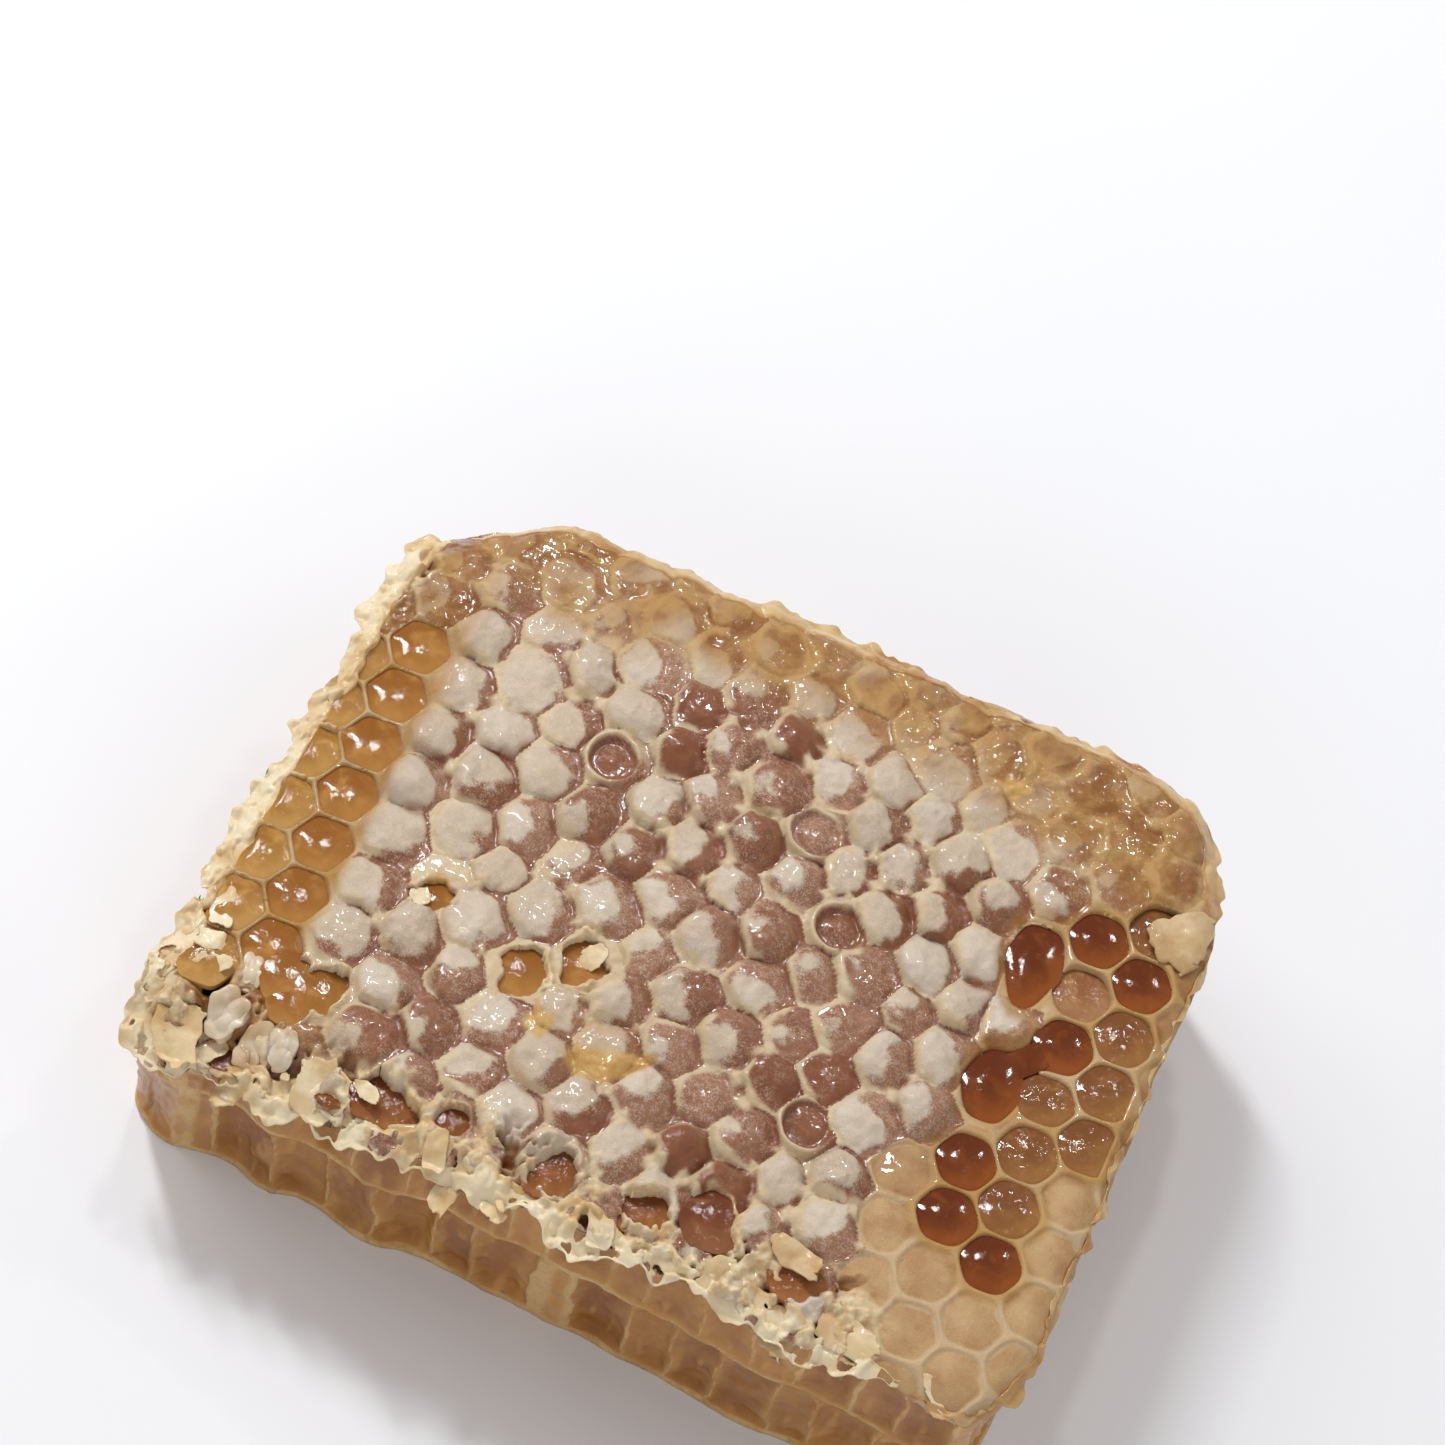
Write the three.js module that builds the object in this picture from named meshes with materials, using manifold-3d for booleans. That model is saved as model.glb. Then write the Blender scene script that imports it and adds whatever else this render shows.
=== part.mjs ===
// A cut piece of honeycomb lying flat. Two layers of wax cells stand back to back on a
// midrib, capped on both faces, and honey stands in the cells that are open on top.
// Millimetres. +Z is up, +X runs along the long side, and the origin is on the ground
// under the middle of the piece.

import * as THREE from 'three';
import { mergeVertices } from 'three/addons/utils/BufferGeometryUtils.js';
import Module from 'manifold-3d';

const wasm = await Module();
wasm.setup();

// ---- driving dimensions ----

const PITCH = 5.4; // from one cell's middle to the next, across the flats
const RIM_LEVEL = 24; // height of the cell rims where the comb is thickest
const MIDRIB_LEVEL = 12.2; // height of the wax sheet between the two layers
const MIDRIB_HALF = 0.7; // half of that sheet's thickness
const WALL = 0.8; // thickness of the walls between open cells
const GAP = 0.3; // clearance between wax and honey solids
const CAP_RISE = 1.15; // how far a domed cap stands above the rims round it
const CAP_TILT = 0.55; // how much higher one side of a cap is than its middle
const FLAT_CAP_SINK = 0.35; // how far a flat cap lies below the rims round it

const LATTICE_TURN = THREE.MathUtils.degToRad(4.7); // columns of cells against the short side
const FIRST_CELL = { x: 28.4, y: -10.8 }; // middle of cell (0, 0)
const LATTICE_REACH = 19; // cells counted from cell (0, 0) each way

// Corners of the outline on top, near left first and then counterclockwise, each with
// the radius it is rounded to. The far left corner is cut off slantwise.
const OUTLINE_CORNERS = [
  { x: -40.0, y: -30.2, r: 3.5 },
  { x: 38.0, y: -31.6, r: 2.5 },
  { x: 40.4, y: -24.0, r: 5 },
  { x: 40.2, y: 18.5, r: 12 },
  { x: 35.0, y: 31.4, r: 8 },
  { x: -27.5, y: 31.2, r: 4 },
  { x: -38.2, y: 24.0, r: 5 },
  { x: -39.3, y: 2.0, r: 20 },
];
const OUTLINE_STEP = 3.3; // length of one facet along the outline
const RAGGED_NEAR = 0.7; // how far torn edges wander, near and left
const RAGGED_FAR = 0.3; // how far the clean cut edges wander, right and far

// Cells with no cap on the right: lattice place, and how far each is stretched along
// its column and across it where two cells have run into one.
const OPEN_RIGHT = [
  { i: 0, j: 0 },
  { i: -1, j: 1 },
  { i: -1, j: 2 },
  { i: 0, j: 1 },
  { i: 1, j: 0 },
  { i: 2, j: -1, long: 0.88 },
  { i: 3, j: -2 },
  { i: 1.4, j: -1.4, long: 1.36 },
  { i: 3.68, j: -3.68, long: 1.5, wide: 0.94 },
  { i: 4, j: -3, sink: 0.9 },
  { i: 5, j: -4 },
  { i: 5, j: -3 },
  { i: 6, j: -4, sink: 0.8 },
  { i: 4, j: -2 },
  { i: 3, j: -1 },
  { i: 2, j: 0 },
];

// The uncapped strip on the left: one full column of cells and the cut column outside it.
const STRIP_COLUMN = -13;
const STRIP_ROWS = [-0.5, 0.5, 1.5, 2.5, 3.5, 4.5, 5.5];
const OUTER_ROWS = [-1, 0, 1, 2, 3, 4, 5];
const STRIP_SINK = 0.45;

// Cells torn open in the capped field and along the near edge.
const TORN_CELLS = [
  { i: -7, j: -5, sink: 0.8, long: 1.1 },
  { i: -4, j: -5, sink: 0.9 },
  { i: -3, j: -5, sink: 1.0, long: 1.1, wide: 0.85 },
  { i: -4.3, j: -6.7, sink: 0.9, long: 0.8, wide: 0.8 },
  { i: -9, j: -4, sink: 1.8 },
  { i: -7.5, j: -2.8, sink: 2.2, wide: 1.15 },
  { i: -6.8, j: -2.1, sink: 2.0, long: 0.7, wide: 0.7 },
  { i: -6, j: -1, sink: 2.2 },
  { i: -5.2, j: 0, sink: 2.4, long: 0.8 },
  { i: -4.6, j: 0.6, sink: 1.4, long: 1.1 },
  { i: -3.8, j: 1.7, sink: 1.6, long: 0.9 },
];
const DEEP_SINK = 1.2; // from here a torn cell's honey counts as low

// ---- seeded chance ----

// The same number between 0 and 1 each time for the same three whole numbers.
function chance(a, b, c) {
  const value = Math.sin(a * 127.1 + b * 311.7 + c * 74.7) * 43758.5453;
  return value - Math.floor(value);
}

function smoothstep(low, high, value) {
  const t = THREE.MathUtils.clamp((value - low) / (high - low), 0, 1);
  return t * t * (3 - 2 * t);
}

// A soft wave over the plane, between -1 and 1.
function swell(x, y) {
  return 0.6 * Math.sin(x / 9 + 1.3) * Math.cos(y / 11 - 0.4) + 0.4 * Math.sin((x + y) / 6.5);
}

// ---- the lattice of cells ----

const NEIGHBOURS = [[1, 0], [1, -1], [0, -1], [-1, 0], [-1, 1], [0, 1]];

// The lattice isn't quite regular: to the left its columns slide over and lean less.
function drift(x, y) {
  const left = smoothstep(27, 0, x);
  const strip = smoothstep(-23, -32, x);
  return { x: x + left * (1.5 * (1 - 0.85 * strip) + 0.03 * (y - FIRST_CELL.y)), y };
}

function latticePoint(i, j) {
  const up = LATTICE_TURN + Math.PI / 6;
  const down = LATTICE_TURN - Math.PI / 6;
  const x = FIRST_CELL.x + PITCH * (i * Math.cos(up) + j * Math.cos(down));
  const y = FIRST_CELL.y + PITCH * (i * Math.sin(up) + j * Math.sin(down));
  return drift(x, y);
}

// The whole numbers that name corner k of a cell are the sums over its three cells.
function cornerKey(i, j, k) {
  const before = NEIGHBOURS[(k + 5) % 6];
  const after = NEIGHBOURS[k];
  return [3 * i + before[0] + after[0], 3 * j + before[1] + after[1]];
}

function cornerPoint([a, b]) {
  const point = latticePoint(a / 3, b / 3);
  const wander = 0.3;
  return {
    x: point.x + wander * (chance(a, b, 1) - 0.5),
    y: point.y + wander * (chance(a, b, 2) - 0.5),
  };
}

// ---- the outline ----

function roundedCorner(corner, before, after) {
  const here = new THREE.Vector2(corner.x, corner.y);
  const back = new THREE.Vector2(before.x, before.y).sub(here);
  const ahead = new THREE.Vector2(after.x, after.y).sub(here);
  const half = Math.acos(back.clone().normalize().dot(ahead.clone().normalize())) / 2;
  const reach = Math.min(corner.r / Math.tan(half), 0.48 * Math.min(back.length(), ahead.length()));
  const start = here.clone().add(back.setLength(reach));
  const end = here.clone().add(ahead.setLength(reach));
  return new THREE.QuadraticBezierCurve(start, here, end);
}

const smoothOutline = new THREE.CurvePath();
const cornerCurves = OUTLINE_CORNERS.map((corner, n, all) =>
  roundedCorner(corner, all.at(n - 1), all[(n + 1) % all.length]));
cornerCurves.forEach((curve, n) => {
  smoothOutline.add(curve);
  smoothOutline.add(new THREE.LineCurve(curve.v2, cornerCurves[(n + 1) % cornerCurves.length].v0));
});

// Points along the edge, moved in by a distance. Torn sides wander more than cut ones.
function outlineLoop(inset) {
  const count = Math.round(smoothOutline.getLength() / OUTLINE_STEP);
  const loop = [];
  for (let n = 0; n < count; n += 1) {
    const share = n / count;
    const point = smoothOutline.getPointAt(share);
    const along = smoothOutline.getPointAt((share + 0.004) % 1).sub(
      smoothOutline.getPointAt((share + 0.996) % 1)).normalize();
    const torn = point.y < -26 || point.x < -34;
    const wander = (torn ? RAGGED_NEAR : RAGGED_FAR) * (2 * chance(n, 5, 9) - 1);
    loop.push(new THREE.Vector2(
      point.x - along.y * (inset - wander), point.y + along.x * (inset - wander)));
  }
  return loop;
}

const EDGE = outlineLoop(0);

function distanceToEdge(x, y) {
  const point = new THREE.Vector3(x, y, 0);
  const line = new THREE.Line3();
  const nearest = new THREE.Vector3();
  let best = Infinity;
  EDGE.forEach((start, n) => {
    const end = EDGE[(n + 1) % EDGE.length];
    line.start.set(start.x, start.y, 0);
    line.end.set(end.x, end.y, 0);
    line.closestPointToPoint(point, true, nearest);
    best = Math.min(best, nearest.distanceTo(point));
  });
  return best;
}

// ---- height of the rims ----

// The comb sags to the left, its uncapped strip lies lower still, and the near left
// corner and the near edge are broken down.
function rimLevel(x, y) {
  const sag = 2.0 * smoothstep(4, -30, x);
  const strip = 0.9 * smoothstep(-29.5, -31.5, x);
  const corner = 2.6 * smoothstep(1.2, 0.35, Math.hypot((x + 33) / 15, (y + 31) / 9));
  const near = 1.1 * smoothstep(-24.5, -30, y) * smoothstep(29, 22, x);
  return RIM_LEVEL - sag - strip - corner - near + 0.35 * swell(x, y);
}

function roundedEdge(x, y) {
  const reach = 2.4;
  const share = 1 - Math.min(distanceToEdge(x, y), reach) / reach;
  return 1.1 * share * share;
}

// ---- solids ----

const MERGE_DISTANCE = 1e-3;

function geometryFrom(points, faces) {
  const geometry = new THREE.BufferGeometry();
  geometry.setAttribute('position', new THREE.Float32BufferAttribute(points.flat(), 3));
  geometry.setIndex(faces.flat());
  return geometry;
}

function solidFrom(geometry) {
  const bare = geometry.clone();
  bare.deleteAttribute('normal');
  bare.deleteAttribute('uv');
  const merged = mergeVertices(bare, MERGE_DISTANCE);
  const mesh = new wasm.Mesh({
    numProp: 3,
    vertProperties: new Float32Array(merged.attributes.position.array),
    triVerts: new Uint32Array(merged.index.array),
  });
  return new wasm.Manifold(mesh);
}

function geometryOf(solid) {
  const mesh = solid.getMesh();
  const geometry = new THREE.BufferGeometry();
  geometry.setAttribute('position', new THREE.BufferAttribute(mesh.vertProperties, 3));
  geometry.setIndex(new THREE.BufferAttribute(mesh.triVerts, 1));
  geometry.computeVertexNormals();
  return geometry;
}

function upright(loop, bottom, top) {
  const shape = new THREE.Shape(loop);
  const geometry = new THREE.ExtrudeGeometry(shape, { depth: top - bottom, bevelEnabled: false });
  geometry.translate(0, 0, bottom);
  return solidFrom(geometry);
}

function joined(solids) {
  return solids.reduce((whole, solid) => whole.add(solid));
}

// Closes a sheet of faces that look up with a flat copy of itself at a lower level.
function closedSheet(points, faces, flatLevel) {
  const count = points.length;
  const all = points.concat(points.map(([x, y]) => [x, y, flatLevel]));
  const underside = faces.map(([a, b, c]) => [a + count, c + count, b + count]);
  const edges = new Set();
  faces.forEach(([a, b, c]) => [[a, b], [b, c], [c, a]].forEach((edge) => edges.add(edge.join())));
  const rim = [];
  edges.forEach((edge) => {
    const [a, b] = edge.split(',').map(Number);
    if (!edges.has(`${b},${a}`)) {
      rim.push([b, a, a + count], [b, a + count, b + count]);
    }
  });
  return solidFrom(geometryFrom(all, [...faces, ...underside, ...rim]));
}

// ---- the top face of the comb ----

function cellsInReach() {
  const cells = [];
  for (let i = -LATTICE_REACH; i <= LATTICE_REACH; i += 1) {
    for (let j = -LATTICE_REACH; j <= LATTICE_REACH; j += 1) {
      const middle = latticePoint(i, j);
      if (Math.abs(middle.x) < 46 && Math.abs(middle.y) < 38) {
        cells.push({ i, j, ...middle });
      }
    }
  }
  return cells;
}

const CELLS = cellsInReach();

// One cell as a middle point, a ring of six and its six corners, which it shares.
function latticeSheet(ringShare, heightAt) {
  const points = [];
  const faces = [];
  const cornerIndex = new Map();
  const addPoint = (x, y, z) => points.push([x, y, z]) - 1;
  CELLS.forEach((cell) => {
    const middle = addPoint(cell.x, cell.y, heightAt(cell, 'middle', cell.x, cell.y, 0));
    const corners = [];
    const ring = [];
    for (let k = 0; k < 6; k += 1) {
      const key = cornerKey(cell.i, cell.j, k);
      const corner = cornerPoint(key);
      if (!cornerIndex.has(key.join())) {
        const height = heightAt(cell, 'corner', corner.x, corner.y, 0);
        cornerIndex.set(key.join(), addPoint(corner.x, corner.y, height));
      }
      corners.push(cornerIndex.get(key.join()));
      const x = THREE.MathUtils.lerp(cell.x, corner.x, ringShare);
      const y = THREE.MathUtils.lerp(cell.y, corner.y, ringShare);
      ring.push(addPoint(x, y, heightAt(cell, 'ring', x, y, k)));
    }
    for (let k = 0; k < 6; k += 1) {
      const next = (k + 1) % 6;
      faces.push([middle, ring[k], ring[next]]);
      faces.push([ring[k], corners[k], corners[next]], [ring[k], corners[next], ring[next]]);
    }
  });
  return { points, faces };
}

// Caps stay flat round the open cells of the near right corner.
function isFlatCap(cell) {
  return Math.hypot(cell.x - 33, cell.y + 22) < 12.5;
}

function isOpen(cell) {
  return OPEN_CELLS.some((open) => Math.hypot(cell.x - open.x, (cell.y - open.y) / open.long) < 0.62 * PITCH);
}

function topHeight(cell, part, x, y, k) {
  const level = rimLevel(x, y) - roundedEdge(x, y);
  if (part === 'corner' || isOpen(cell)) {
    return level;
  }
  if (isFlatCap(cell)) {
    return level - FLAT_CAP_SINK;
  }
  const rise = CAP_RISE * (0.65 + 0.5 * chance(cell.i, cell.j, 3));
  if (part === 'middle') {
    return level + rise;
  }
  const highSide = Math.PI * (1.05 + 0.5 * (chance(cell.i, cell.j, 4) - 0.5));
  const angle = (k * Math.PI) / 3 + LATTICE_TURN;
  return level + rise * (0.62 + CAP_TILT * Math.cos(angle - highSide));
}

function combBlock() {
  const ringOnTop = 0.64;
  const top = latticeSheet(ringOnTop, topHeight);
  const sheet = closedSheet(top.points, top.faces, -2);
  return sheet.intersect(upright(EDGE, 0, RIM_LEVEL + 6));
}

// ---- cut cells at the sides ----

// Each cell that the cut opened is a shallow channel between two walls.
function sideChannels(shift, bottom, heightUnderCap) {
  const depths = [0.5, 0.9, 1.5];
  const cores = depths.map((depth) => upright(outlineLoop(depth), 0, RIM_LEVEL + 4));
  const channels = [];
  CELLS.forEach((cell) => {
    const x = cell.x + shift.x;
    const y = cell.y + shift.y;
    const openedOnTop = bottom > MIDRIB_LEVEL && isOpen(cell);
    if (openedOnTop || distanceToEdge(x, y) > 0.75 * PITCH) {
      return;
    }
    const loop = [];
    for (let k = 0; k < 6; k += 1) {
      const corner = cornerPoint(cornerKey(cell.i, cell.j, k));
      loop.push(new THREE.Vector2(corner.x + shift.x, corner.y + shift.y).lerp(new THREE.Vector2(x, y), 0.13));
    }
    const pick = Math.floor(3 * chance(cell.i, cell.j, bottom));
    const lift = 0.6 * chance(cell.i, cell.j, 7);
    channels.push(upright(loop, bottom + lift, heightUnderCap(x, y)).subtract(cores[pick]));
  });
  return joined(channels);
}

// ---- open cells ----

function columnCell(column, row, more) {
  return { i: column / 2 + row, j: column / 2 - row, ...more };
}

const NAMED_OPENINGS = [
  ...OPEN_RIGHT.map((cell, n) => ({ ...cell, name: `honey_right_${n + 1}` })),
  ...STRIP_ROWS.map((row, n) =>
    ({ ...columnCell(STRIP_COLUMN, row, { sink: STRIP_SINK }), name: `honey_left_${n + 1}` })),
  ...OUTER_ROWS.map((row, n) =>
    ({ ...columnCell(STRIP_COLUMN - 1, row, { sink: STRIP_SINK }), name: `honey_outer_${n + 1}` })),
  ...TORN_CELLS.map((cell, n) => ({ ...cell, name: `honey_torn_${n + 1}` })),
];
const OPEN_CELLS = NAMED_OPENINGS.map((cell) => {
  const { x, y } = latticePoint(cell.i, cell.j);
  return { wide: 1, long: 1, sink: 0.4, ...cell, x, y };
});

// A hexagon stretched along or across its column. Its corners are blunt in the clean
// round cells on the right.
function cellLoop(cell, inset) {
  const loop = [];
  const flat = (PITCH - WALL) / 2;
  const radius = 0.96 * flat / Math.cos(Math.PI / 6);
  const blunt = cell.name.startsWith('honey_right') ? [-0.22, 0.22] : [0];
  const angles = [0, 1, 2, 3, 4, 5].flatMap((k) => blunt.map((turn) => k * (Math.PI / 3) + turn));
  for (const angle of angles) {
    const x = Math.cos(angle) * (radius * cell.wide - inset);
    const y = Math.sin(angle) * (radius * cell.long - inset);
    const turned = new THREE.Vector2(x, y).rotateAround(new THREE.Vector2(), LATTICE_TURN);
    loop.push(new THREE.Vector2(cell.x + turned.x, cell.y + turned.y));
  }
  return loop;
}

// A column over a loop with a pointed floor and a domed or pointed top.
function spindle(loop, cell, bottom, point, top, crown) {
  const count = loop.length;
  const points = [
    ...loop.map(({ x, y }) => [x, y, bottom]),
    ...loop.map(({ x, y }) => [x, y, top]),
    [cell.x, cell.y, point],
    [cell.x, cell.y, crown],
  ];
  const faces = [];
  for (let n = 0; n < count; n += 1) {
    const next = (n + 1) % count;
    faces.push([n, next, next + count], [n, next + count, n + count]);
    faces.push([next, n, 2 * count], [n + count, next + count, 2 * count + 1]);
  }
  return solidFrom(geometryFrom(points, faces));
}

const POINT_DEPTH = 1.0; // how far a cell's floor runs down to its point
const FLOOR = MIDRIB_LEVEL + MIDRIB_HALF + POINT_DEPTH;
const MENISCUS = 0.35; // how far the honey bulges in the middle of a cell
const SIDE_WALL = 0.9; // wax left outside a cell that the outline cuts

const insideWall = upright(outlineLoop(SIDE_WALL), 0, RIM_LEVEL + 8);
const insideGap = upright(outlineLoop(SIDE_WALL + GAP), 0, RIM_LEVEL + 8);

function cellWell(cell) {
  const above = RIM_LEVEL + 6;
  const well = spindle(cellLoop(cell, 0), cell, FLOOR, FLOOR - POINT_DEPTH, above, above);
  return well.intersect(insideWall);
}

function honeyIn(cell) {
  const level = rimLevel(cell.x, cell.y) - roundedEdge(cell.x, cell.y) - cell.sink;
  const bottom = FLOOR + GAP;
  const honey = spindle(cellLoop(cell, GAP), cell, bottom, bottom - POINT_DEPTH, level, level + MENISCUS);
  return honey.intersect(insideGap);
}

// ---- torn flakes of wax ----

// Where flakes stand: a point on or near the edge, the way they point, length, width,
// height below the rims and how steeply they hang.
function edgeFlakes() {
  const flakes = [];
  const add = (x, y, toward, length, width, below, hang) =>
    flakes.push({ x, y, toward, length, width, below, hang });
  for (let n = 0; n < 12; n += 1) {
    const x = -33 + 5.4 * n;
    const spread = chance(n, 2, 21) - 0.5;
    add(x + 2 * spread, -30.4, -90 + 60 * spread, 2.6 + 2.4 * chance(n, 3, 21), 3.4 + 2 * chance(n, 4, 21),
      1.2 + 1.8 * chance(n, 5, 21), 25 + 45 * chance(n, 6, 21));
  }
  for (let n = 0; n < 8; n += 1) {
    const y = -27 + 6.2 * n;
    const spread = chance(n, 2, 22) - 0.5;
    add(-38.4, y + 2 * spread, 180 + 70 * spread, 2.4 + 1.8 * chance(n, 3, 22), 3.2 + 2 * chance(n, 4, 22),
      0.6 + 1.0 * chance(n, 5, 22), -20 + 50 * chance(n, 6, 22));
  }
  return flakes;
}

const LYING_FLAKES = [
  { x: 36.5, y: 16.5, toward: 62, length: 5.6, width: 4.6, below: -0.4, hang: -12 },
  { x: 12.5, y: -26.4, toward: 165, length: 4.2, width: 4.4, below: -0.5, hang: -6 },
  { x: 19.0, y: -26.2, toward: 10, length: 4.4, width: 3.6, below: -0.5, hang: -8 },
  { x: -9.5, y: -31.0, toward: -105, length: 5.6, width: 3.4, below: 3.2, hang: 35 },
];

const FLAKE_THICKNESS = 0.8;

function flakeSolid(flake, seed) {
  const root = -2.4;
  const jag = (n) => 0.7 + 0.6 * chance(seed, n, 31);
  const half = flake.width / 2;
  const shape = new THREE.Shape([
    new THREE.Vector2(root, -half),
    new THREE.Vector2(0.75 * flake.length, -0.9 * half * jag(1)),
    new THREE.Vector2(flake.length, -0.1 * half),
    new THREE.Vector2(0.55 * flake.length, 0.25 * half * jag(3)),
    new THREE.Vector2(0.8 * flake.length * jag(4), 0.7 * half),
    new THREE.Vector2(root, half),
  ]);
  const geometry = new THREE.ExtrudeGeometry(shape, { depth: FLAKE_THICKNESS, bevelEnabled: false });
  geometry.rotateY(THREE.MathUtils.degToRad(flake.hang));
  geometry.rotateZ(THREE.MathUtils.degToRad(flake.toward));
  const level = rimLevel(flake.x, flake.y) - flake.below - FLAKE_THICKNESS;
  geometry.translate(flake.x, flake.y, level);
  return solidFrom(geometry);
}

// ---- assembly ----

// Drops the scraps that hang on by less than the merging distance.
function largestPiece(solid) {
  const pieces = solidFrom(geometryOf(solid)).decompose();
  return pieces.reduce((best, piece) => (piece.volume() > best.volume() ? piece : best));
}

function waxComb() {
  const capThickness = 1.5;
  const nowhere = { x: 0, y: 0 };
  const third = latticePoint(1 / 3, 1 / 3);
  const lowerShift = { x: third.x - FIRST_CELL.x, y: third.y - FIRST_CELL.y };
  const underCap = (x, y) => rimLevel(x, y) - capThickness;
  const underMidrib = () => MIDRIB_LEVEL - MIDRIB_HALF - 0.5;
  const upperChannels = sideChannels(nowhere, MIDRIB_LEVEL + MIDRIB_HALF, underCap);
  const lowerChannels = sideChannels(lowerShift, capThickness, underMidrib);
  const flakes = [...edgeFlakes(), ...LYING_FLAKES].map(flakeSolid);
  const wells = joined(OPEN_CELLS.map(cellWell));
  const cut = combBlock().subtract(upperChannels).subtract(lowerChannels);
  return largestPiece(cut.add(joined(flakes)).subtract(wells));
}

const WAX = { color: 0xd9b879, roughness: 0.55, metalness: 0 };
const DARK_HONEY = { color: 0x6b2a10, roughness: 0.12, metalness: 0 };
const AMBER_HONEY = { color: 0xa5671f, roughness: 0.12, metalness: 0 };

function named(name, solid, finish) {
  const mesh = new THREE.Mesh(geometryOf(solid), new THREE.MeshStandardMaterial(finish));
  mesh.name = name;
  return mesh;
}

function honeyFinish(cell) {
  const dark = cell.name.startsWith('honey_right') || cell.sink > DEEP_SINK;
  return dark ? DARK_HONEY : AMBER_HONEY;
}

const honeycomb = new THREE.Group();
honeycomb.add(named('comb', waxComb(), WAX));
OPEN_CELLS.forEach((cell) => honeycomb.add(named(cell.name, honeyIn(cell), honeyFinish(cell))));

const box = new THREE.Box3().setFromObject(honeycomb);
const middle = box.getCenter(new THREE.Vector3());
honeycomb.children.forEach((mesh) => mesh.position.set(-middle.x, -middle.y, -box.min.z));

export default honeycomb;
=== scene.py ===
"""A cut piece of honeycomb: capped cells in pale wax, honey in the open ones, torn edges."""

import math

import bpy
import numpy as np
from mathutils import Matrix, Vector


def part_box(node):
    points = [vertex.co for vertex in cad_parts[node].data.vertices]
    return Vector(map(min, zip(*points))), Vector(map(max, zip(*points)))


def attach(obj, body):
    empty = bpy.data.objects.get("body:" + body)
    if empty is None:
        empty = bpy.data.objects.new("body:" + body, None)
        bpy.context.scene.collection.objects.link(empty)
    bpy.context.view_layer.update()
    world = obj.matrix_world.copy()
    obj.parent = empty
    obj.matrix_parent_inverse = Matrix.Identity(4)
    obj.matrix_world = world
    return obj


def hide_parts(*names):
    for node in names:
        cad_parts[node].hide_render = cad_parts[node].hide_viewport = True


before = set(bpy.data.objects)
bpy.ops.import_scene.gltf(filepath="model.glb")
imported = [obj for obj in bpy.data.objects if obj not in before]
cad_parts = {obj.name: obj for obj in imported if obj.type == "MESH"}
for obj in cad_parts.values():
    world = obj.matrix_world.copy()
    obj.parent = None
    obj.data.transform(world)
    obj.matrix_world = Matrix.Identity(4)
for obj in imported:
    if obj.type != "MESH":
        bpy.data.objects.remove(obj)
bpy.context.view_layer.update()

MM = 0.001

# ---- driving dimensions, in millimetres ----

PITCH = 5.4  # from the middle of one cell to the next
RIM_LEVEL = 24.0
MIDRIB_LEVEL = 12.2  # height of the sheet between the two layers of cells
MIDRIB_HALF = 0.7
WALL = 0.8
CAP_RISE = 1.0
CAP_TILT = 0.55
FLAT_CAP_SINK = 0.35
LATTICE_TURN = math.radians(4.7)
FIRST_CELL = (28.4, -10.8)
LATTICE_REACH = 19  # cells each way from the first
# Corners of the outline, each with the radius of its rounding.
OUTLINE_CORNERS = [
    (-40.0, -30.2, 3.5), (38.0, -31.6, 2.5), (40.4, -24.0, 5.0), (40.2, 18.5, 12.0),
    (35.0, 31.4, 8.0), (-27.5, 31.2, 4.0), (-38.2, 24.0, 5.0), (-39.3, 2.0, 20.0),
]
SIDE_CORNERS = [(-39.6, -30.0), (38.6, -31.2), (38.3, 29.0), (-33.0, 28.4)]
OUTLINE_STEP = 3.3  # length of one broad facet of the cut
EDGE_STEP = 0.1  # from one point of the edge to the next
CALM_POINTS = 41  # points of the edge that the cut sides average over
RAGGED_NEAR = 0.7
RAGGED_FAR = 0.3
SIDE_INSET = 0.25
SIDE_WALL = 1.4  # least wax between an opening and the edge
SIDE_TOP_DROP = 1.6  # from the rims to the top of the cut sides
SIDE_INNER_TOP, SIDE_INNER_FOOT = 14.5, 0.7
WELL_FLOOR = 4.6
MENISCUS = 0.42  # rise of a pool's middle over its rim
POOL_SPARE, TORN_POOL_SPARE = 0.14, 0.75  # how far honey reaches into the wax round it
POOL_FOOT, SHORT_FOOT, SHORT_WITHIN = 3.2, 1.2, 6  # short ones stand close to the edge
POOL_TOP_SHARE = 0.72  # of a pool's rings, the share on its top
TORN_POOL_RAISE = 1.5
CRUST_EDGE = 1.6
CRUST_INNER = 2.8
CRUST_BOTTOM = 15.2
UNDERSIDE_SHARE = 0.966  # size of the underside against the outline
GRID_STEP = 0.152
MERGE_WITHIN = 0.02
BAND_STEP = 0.17
BAND_THICK = 0.13
SHEET_THICK = 0.14

low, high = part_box("honey_right_1")
SHIFT = ((low.x + high.x) / 2 / MM - FIRST_CELL[0], (low.y + high.y) / 2 / MM - FIRST_CELL[1])


# ---- seeded chance and soft waves ----

def chance(a, b, c):
    """The same number between 0 and 1 each time for the same three numbers."""
    value = np.sin(np.asarray(a) * 127.1 + np.asarray(b) * 311.7 + c * 74.7) * 43758.5453
    return value - np.floor(value)


def ease(low, high, value):
    """0 below low, 1 above high, and a soft way between them."""
    share = np.clip((value - low) / (high - low), 0, 1)
    return share * share * (3 - 2 * share)


GRAIN_CELLS = 97
grain_tables = {}


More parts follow.
